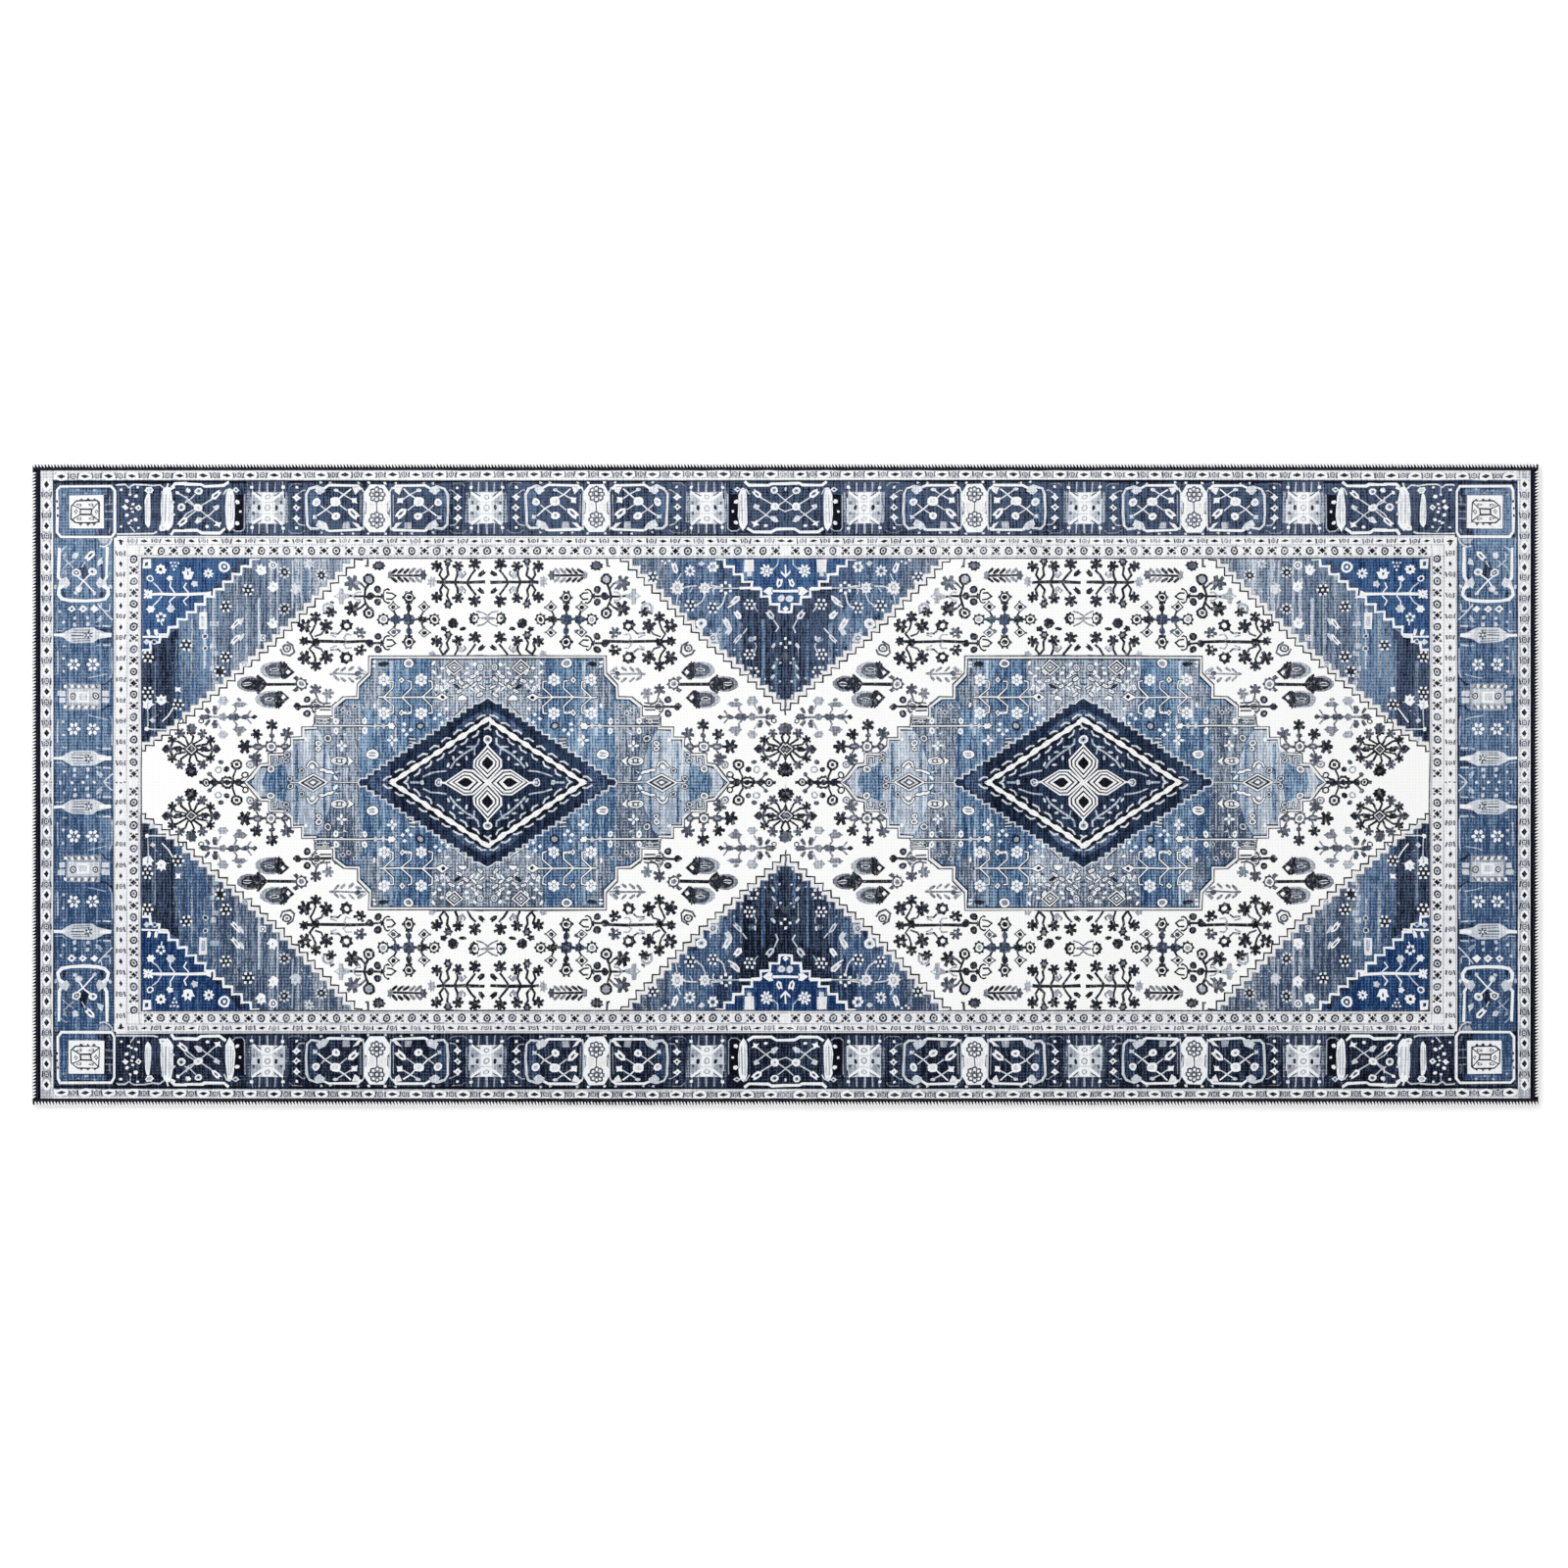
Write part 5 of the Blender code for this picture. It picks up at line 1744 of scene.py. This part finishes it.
def newTree(name, **inputs):
    # An empty tree with a geometry output and these named inputs.
    tree = bpy.data.node_groups.new(name, "GeometryNodeTree")
    tree.interface.new_socket("Geometry", in_out="OUTPUT", socket_type="NodeSocketGeometry")
    for title, kind in inputs.items():
        tree.interface.new_socket(title, in_out="INPUT", socket_type="NodeSocket" + kind)
    return tree, tree.nodes.new("NodeGroupInput"), tree.nodes.new("NodeGroupOutput")


def overlockTree():
    tree, start, end = newTree("stitchRow", Stitch="Object", Count="Int", Pitch="Float", Looseness="Float",
        Seed="Int", Material="Material")

    def node(kind, **settings):
        made = tree.nodes.new(kind)
        for key, value in settings.items():
            setattr(made, key, value)
        return made
    row = node("GeometryNodeMeshLine", mode="OFFSET")
    step = node("ShaderNodeCombineXYZ")
    stitch = node("GeometryNodeObjectInfo")
    place = node("GeometryNodeInstanceOnPoints")
    turn = node("FunctionNodeRandomValue", data_type="FLOAT_VECTOR")
    size = node("FunctionNodeRandomValue", data_type="FLOAT")
    lean = node("ShaderNodeVectorMath", operation="SCALE")
    grow = node("ShaderNodeMath", operation="ADD")
    shrink = node("ShaderNodeMath", operation="SUBTRACT")
    real = node("GeometryNodeRealizeInstances")
    paint = node("GeometryNodeSetMaterial")
    turn.inputs["Min"].default_value = (-1.0, -0.4, -1.0)
    turn.inputs["Max"].default_value = (1.0, 0.4, 1.0)
    grow.inputs[0].default_value = 1.0
    shrink.inputs[0].default_value = 1.0
    joins = ((start.outputs["Count"], row.inputs["Count"]), (start.outputs["Pitch"], step.inputs["X"]),
        (step.outputs["Vector"], row.inputs["Offset"]), (start.outputs["Stitch"], stitch.inputs["Object"]),
        (row.outputs["Mesh"], place.inputs["Points"]), (stitch.outputs["Geometry"], place.inputs["Instance"]),
        (start.outputs["Seed"], turn.inputs["Seed"]), (start.outputs["Seed"], size.inputs["Seed"]),
        (turn.outputs["Value"], lean.inputs[0]), (start.outputs["Looseness"], lean.inputs["Scale"]),
        (lean.outputs["Vector"], place.inputs["Rotation"]), (start.outputs["Looseness"], grow.inputs[1]),
        (start.outputs["Looseness"], shrink.inputs[1]), (shrink.outputs["Value"], size.inputs[2]),
        (grow.outputs["Value"], size.inputs[3]), (size.outputs[1], place.inputs["Scale"]),
        (place.outputs["Instances"], real.inputs["Geometry"]), (real.outputs["Geometry"],
        paint.inputs["Geometry"]), (start.outputs["Material"], paint.inputs["Material"]),
        (paint.outputs["Geometry"], end.inputs["Geometry"]))
    for source, target in joins:
        tree.links.new(source, target)
    return tree


def growRow(name, tree, values):
    # Runs a tree on an empty mesh and returns what it makes, as a plain mesh.
    holder = bpy.data.objects.new(name, bpy.data.meshes.new(name + "Seed"))
    bpy.context.scene.collection.objects.link(holder)
    modifier = holder.modifiers.new("rows", "NODES")
    modifier.node_group = tree
    for item in tree.interface.items_tree:
        if item.in_out == "INPUT" and item.name in values:
            modifier[item.identifier] = values[item.name]
    bpy.context.view_layer.update()
    evaluated = holder.evaluated_get(bpy.context.evaluated_depsgraph_get())
    mesh = bpy.data.meshes.new_from_object(evaluated)
    mesh.name = name
    holder.modifiers.clear()
    bpy.data.objects.remove(holder)
    return mesh


def bindEdges(white, navy):
    tree = overlockTree()
    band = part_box("front_upper_looper_thread")
    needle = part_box("front_needle_thread")
    reach = band[1].y - cadLow.y
    topZ, splitZ = band[1].z, band[0].z
    needleIn = (needle[0].y + needle[1].y) / 2 - cadLow.y
    r, rn, lean, pitch = (overlock[name] for name in ("strand", "needleStrand", "slant", "pitch"))
    upper = makeStitch("upperStitch", [
        (0.0, reach * 0.82, topZ - 0.0008), (lean * 0.2, reach * 0.72, topZ - 0.0001),
        (lean * 0.5, reach * 0.5, topZ), (lean, 0.0020, topZ - 0.0007),
        (lean + pitch * 0.25, 0.0010, topZ - 0.0010), (lean + pitch * 1.1, 0.0009, topZ - 0.0010)],
        [r * 0.5, r * 0.9, r * 1.15, r * 1.5, r * 0.9, r * 0.8], 6, 0.7)
    lower = makeStitch("lowerStitch", [
        (lean * 0.9, r * 0.62, splitZ - 0.0002), (lean * 0.7, r * 0.75, 0.0019),
        (lean * 0.5, reach * 0.2, 0.0007), (lean * 0.2, reach * 0.55, 0.0005),
        (0.0, reach - 0.0004, 0.00055)], [r * 0.6, r * 0.8, r * 0.75, r * 0.65, r * 0.4], 6, 0.6)
    seam = makeStitch("needleStitch", [
        (-pitch * 0.46, needleIn, needle[0].z - 0.0002), (-pitch * 0.3, needleIn, needle[1].z - rn),
        (pitch * 0.3, needleIn, needle[1].z - rn), (pitch * 0.46, needleIn, needle[0].z - 0.0002)],
        [rn * 0.6, rn, rn, rn * 0.6], 6)
    stitches = {"upper_looper_thread": upper, "lower_looper_thread": lower, "needle_thread": seam}
    threads = {"upper_looper_thread": white, "lower_looper_thread": white, "needle_thread": navy}
    sides = {
        "front": (0.0, cadHigh.x, cadHigh.y),
        "right": (math.pi / 2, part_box("right_needle_thread")[1].y, cadHigh.x),
        "back": (math.pi, cadHigh.x, cadHigh.y),
        "left": (-math.pi / 2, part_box("left_needle_thread")[1].y, cadHigh.x),
    }
    for k, (side, (turn, half, distance)) in enumerate(sides.items()):
        for j, (kind, stitch) in enumerate(stitches.items()):
            count = int((2 * half - 0.002) / pitch)
            values = {"Stitch": stitch, "Count": count, "Pitch": pitch, "Looseness": overlock["loose"],
                      "Seed": overlock["seed"] + 7 * k + j, "Material": threads[kind]}
            mesh = growRow(f"{side}_{kind}_stitches", tree, values)
            cos, sin = math.cos(turn), math.sin(turn)
            places = pointsOf(mesh)
            x = places[:, 0] - (count - 1) * pitch / 2
            y = places[:, 1] - distance
            places[:, 0], places[:, 1] = cos * x - sin * y, sin * x + cos * y
            places[:, 2] = np.maximum(places[:, 2], 0.0)
            mesh.vertices.foreach_set("co", places.ravel())
            settle(mesh)
            showPiece(f"{side}_{kind}_stitches", mesh, threads[kind], [f"{side}_{kind}"])
        print("edge bound:", side, count, "stitches")


backing = {
    "dotPitch": 0.015,
    "dotRadius": 0.0024,
    "dotHeight": 0.00045,
    "margin": 0.012,            # the outer dots stand this far in, on both sides together
    "pocket": 0.002,            # room cut out round the label
    "labelClear": 0.006,
}


def gridMesh(name, low, high, spacing, topZ):
    # An open flat sheet with points this far apart.
    work = bmesh.new()
    nx = max(2, round((high.x - low.x) / spacing))
    ny = max(2, round((high.y - low.y) / spacing))
    bmesh.ops.create_grid(work, x_segments=nx, y_segments=ny, size=0.5)
    for vertex in work.verts:
        vertex.co.x = low.x + (vertex.co.x + 0.5) * (high.x - low.x)
        vertex.co.y = low.y + (vertex.co.y + 0.5) * (high.y - low.y)
        vertex.co.z = topZ
    mesh = bpy.data.meshes.new(name)
    work.to_mesh(mesh)
    work.free()
    return mesh


def thicken(mesh, bottomZ):
    # Closes an open sheet with a copy of its top lower down.
    work = bmesh.new()
    work.from_mesh(mesh)
    found = bmesh.ops.extrude_face_region(work, geom=list(work.faces))["geom"]
    for part in found:
        if isinstance(part, bmesh.types.BMVert):
            part.co.z = bottomZ
    bmesh.ops.recalc_face_normals(work, faces=work.faces)
    work.to_mesh(mesh)
    work.free()


def makeFelt(material):
    low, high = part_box("felt_layer")
    mesh = gridMesh("felt_layer_cloth", low, high, face["backSpacing"] / 1000, high.z)
    thicken(mesh, low.z)
    settle(mesh)
    return showPiece("felt_layer_cloth", mesh, material, ["felt_layer"])


def dotTree():
    tree, start, end = newTree("gripDots", Dot="Object", Length="Float", Width="Float", Columns="Int",
        Rows="Int", Material="Material")
    grid = tree.nodes.new("GeometryNodeMeshGrid")
    dot = tree.nodes.new("GeometryNodeObjectInfo")
    place = tree.nodes.new("GeometryNodeInstanceOnPoints")
    real = tree.nodes.new("GeometryNodeRealizeInstances")
    paint = tree.nodes.new("GeometryNodeSetMaterial")
    joins = ((start.outputs["Length"], grid.inputs["Size X"]), (start.outputs["Width"],
        grid.inputs["Size Y"]), (start.outputs["Columns"], grid.inputs["Vertices X"]), (start.outputs["Rows"],
        grid.inputs["Vertices Y"]), (start.outputs["Dot"], dot.inputs["Object"]), (grid.outputs["Mesh"],
        place.inputs["Points"]), (dot.outputs["Geometry"], place.inputs["Instance"]),
        (place.outputs["Instances"], real.inputs["Geometry"]), (real.outputs["Geometry"],
        paint.inputs["Geometry"]), (start.outputs["Material"], paint.inputs["Material"]),
        (paint.outputs["Geometry"], end.inputs["Geometry"]))
    for source, target in joins:
        tree.links.new(source, target)
    return tree


def makeDot():
    # A low rubber button with six sides, its open side up against the sheet.
    work = bmesh.new()
    bmesh.ops.create_cone(work, cap_ends=True, segments=6, radius1=backing["dotRadius"] * 0.62,
        radius2=backing["dotRadius"], depth=backing["dotHeight"])
    for vertex in work.verts:
        vertex.co.z += backing["dotHeight"] / 2
    mesh = bpy.data.meshes.new("gripDot")
    work.to_mesh(mesh)
    work.free()
    return bpy.data.objects.new("gripDot", mesh)


def makeBacking(material):
    low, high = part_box("rubber_grip_sheet")
    labelLow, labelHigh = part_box("care_label")
    pocket, clear = backing["pocket"], backing["labelClear"]
    sheetBottom = low.z + backing["dotHeight"]
    mesh = gridMesh("rubber_backing", low, high, face["backSpacing"] / 1000, high.z)
    work = bmesh.new()
    work.from_mesh(mesh)
    cuts = ((Vector((1, 0, 0)), labelLow.x - pocket), (Vector((1, 0, 0)), labelHigh.x + pocket),
        (Vector((0, 1, 0)), labelLow.y - pocket))
    for normal, place in cuts:
        bmesh.ops.bisect_plane(work, geom=work.verts[:] + work.edges[:] + work.faces[:],
            plane_co=normal * place, plane_no=normal)
    inPocket = []
    for polygon in work.faces:
        mid = polygon.calc_center_median()
        if labelLow.x - pocket < mid.x < labelHigh.x + pocket and mid.y > labelLow.y - pocket:
            inPocket.append(polygon)
    bmesh.ops.delete(work, geom=inPocket, context="FACES")
    work.to_mesh(mesh)
    work.free()
    thicken(mesh, sheetBottom)
    sizeX, sizeY = high.x - low.x, high.y - low.y
    columns, rows = int(sizeX / backing["dotPitch"]), int(sizeY / backing["dotPitch"])
    dotMesh = growRow("gripDots", dotTree(), {
        "Dot": makeDot(), "Length": sizeX - backing["margin"], "Width": sizeY - backing["margin"],
        "Columns": columns, "Rows": rows, "Material": material})
    work = bmesh.new()
    work.from_mesh(dotMesh)
    clash = [v for v in work.verts if labelLow.x - clear < v.co.x < labelHigh.x + clear
        and v.co.y > labelLow.y - clear]
    bmesh.ops.delete(work, geom=clash, context="VERTS")
    work.from_mesh(mesh)
    work.to_mesh(mesh)
    work.free()
    settle(mesh)
    print("backing dots:", columns * rows)
    return showPiece("rubber_backing", mesh, material, ["rubber_grip_sheet"])


def makeLabel(material):
    low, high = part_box("care_label")
    mesh = gridMesh("blank_care_label", low, high, 0.005, high.z)
    thicken(mesh, low.z)
    settle(mesh)
    return showPiece("blank_care_label", mesh, material, ["care_label"])


pileMaterial = makePileMaterial()
threadMaterial = makeClothMaterial("overlock_thread", (0.90, 0.91, 0.93, 1), (0.99, 0.99, 0.99, 1), 0.8,
                                   (1800.0, 1800.0, 1800.0), 0.0002, 0.1)
needleMaterial = makeClothMaterial("needle_thread", (0.01, 0.015, 0.03, 1), (0.05, 0.06, 0.10, 1), 0.8,
                                   (1800.0, 1800.0, 1800.0), 0.0002, 0.1)
feltMaterial = makeClothMaterial("felt", (0.62, 0.62, 0.61, 1), (0.80, 0.80, 0.79, 1), 1.0,
                                 (900.0, 900.0, 900.0), 0.0003)
rubberMaterial = makeClothMaterial("grip_rubber", (0.50, 0.50, 0.49, 1), (0.62, 0.62, 0.60, 1), 0.7,
                                   (500.0, 500.0, 500.0), 0.0001)
satinMaterial = makeClothMaterial("label_satin", (0.82, 0.82, 0.80, 1), (0.94, 0.94, 0.92, 1), 0.4,
                                  (2600.0, 300.0, 300.0), 0.00005, 0.2)
faceCloth = makeFace(pileMaterial)
print("printed face:", len(faceCloth.data.polygons), "faces")
bindEdges(threadMaterial, needleMaterial)
felt = makeFelt(feltMaterial)
rubber = makeBacking(rubberMaterial)
label = makeLabel(satinMaterial)


studio = {
    "view": 1.9025,          # metres of floor across the picture
    "lens": 135.0,
    "sensor": 36.0,
    "aim": (-0.0018, 0.0006),
    "worldLight": 0.80,
    "keyLight": 62.0,
}


def makeStage():
    bpy.ops.mesh.primitive_plane_add(size=14.0, location=(0, 0, 0))
    floor = bpy.context.object
    floor.name = "floor"
    material, _, shader = newMaterial("floor_paper", 0.9)
    shader.inputs["Base Color"].default_value = (0.97, 0.97, 0.97, 1)
    shader.inputs["Emission Color"].default_value = (1, 1, 1, 1)
    shader.inputs["Emission Strength"].default_value = 0.14
    floor.data.materials.append(material)
    world = bpy.data.worlds.new("studio")
    world.use_nodes = True
    world.node_tree.nodes["Background"].inputs["Color"].default_value = (1, 1, 1, 1)
    world.node_tree.nodes["Background"].inputs["Strength"].default_value = studio["worldLight"]
    bpy.context.scene.world = world
    bpy.context.scene.view_settings.view_transform = "Standard"
    key = bpy.data.lights.new("key", "AREA")
    key.energy = studio["keyLight"]
    key.size = 3.0
    lamp = bpy.data.objects.new("key", key)
    lamp.location = (-1.6, 2.2, 3.2)
    lamp.rotation_euler = (Vector((0, 0, 0)) - lamp.location).to_track_quat("-Z", "Y").to_euler()
    bpy.context.scene.collection.objects.link(lamp)


def makeCamera():
    camera = bpy.data.cameras.new("camera")
    camera.lens = studio["lens"]
    camera.sensor_width = studio["sensor"]
    camera.clip_end = 60.0
    holder = bpy.data.objects.new("camera", camera)
    height = studio["view"] * studio["lens"] / studio["sensor"]
    holder.location = (studio["aim"][0], studio["aim"][1], height + cadHigh.z)
    bpy.context.scene.collection.objects.link(holder)
    bpy.context.scene.camera = holder


makeStage()
makeCamera()

print("all pieces made")
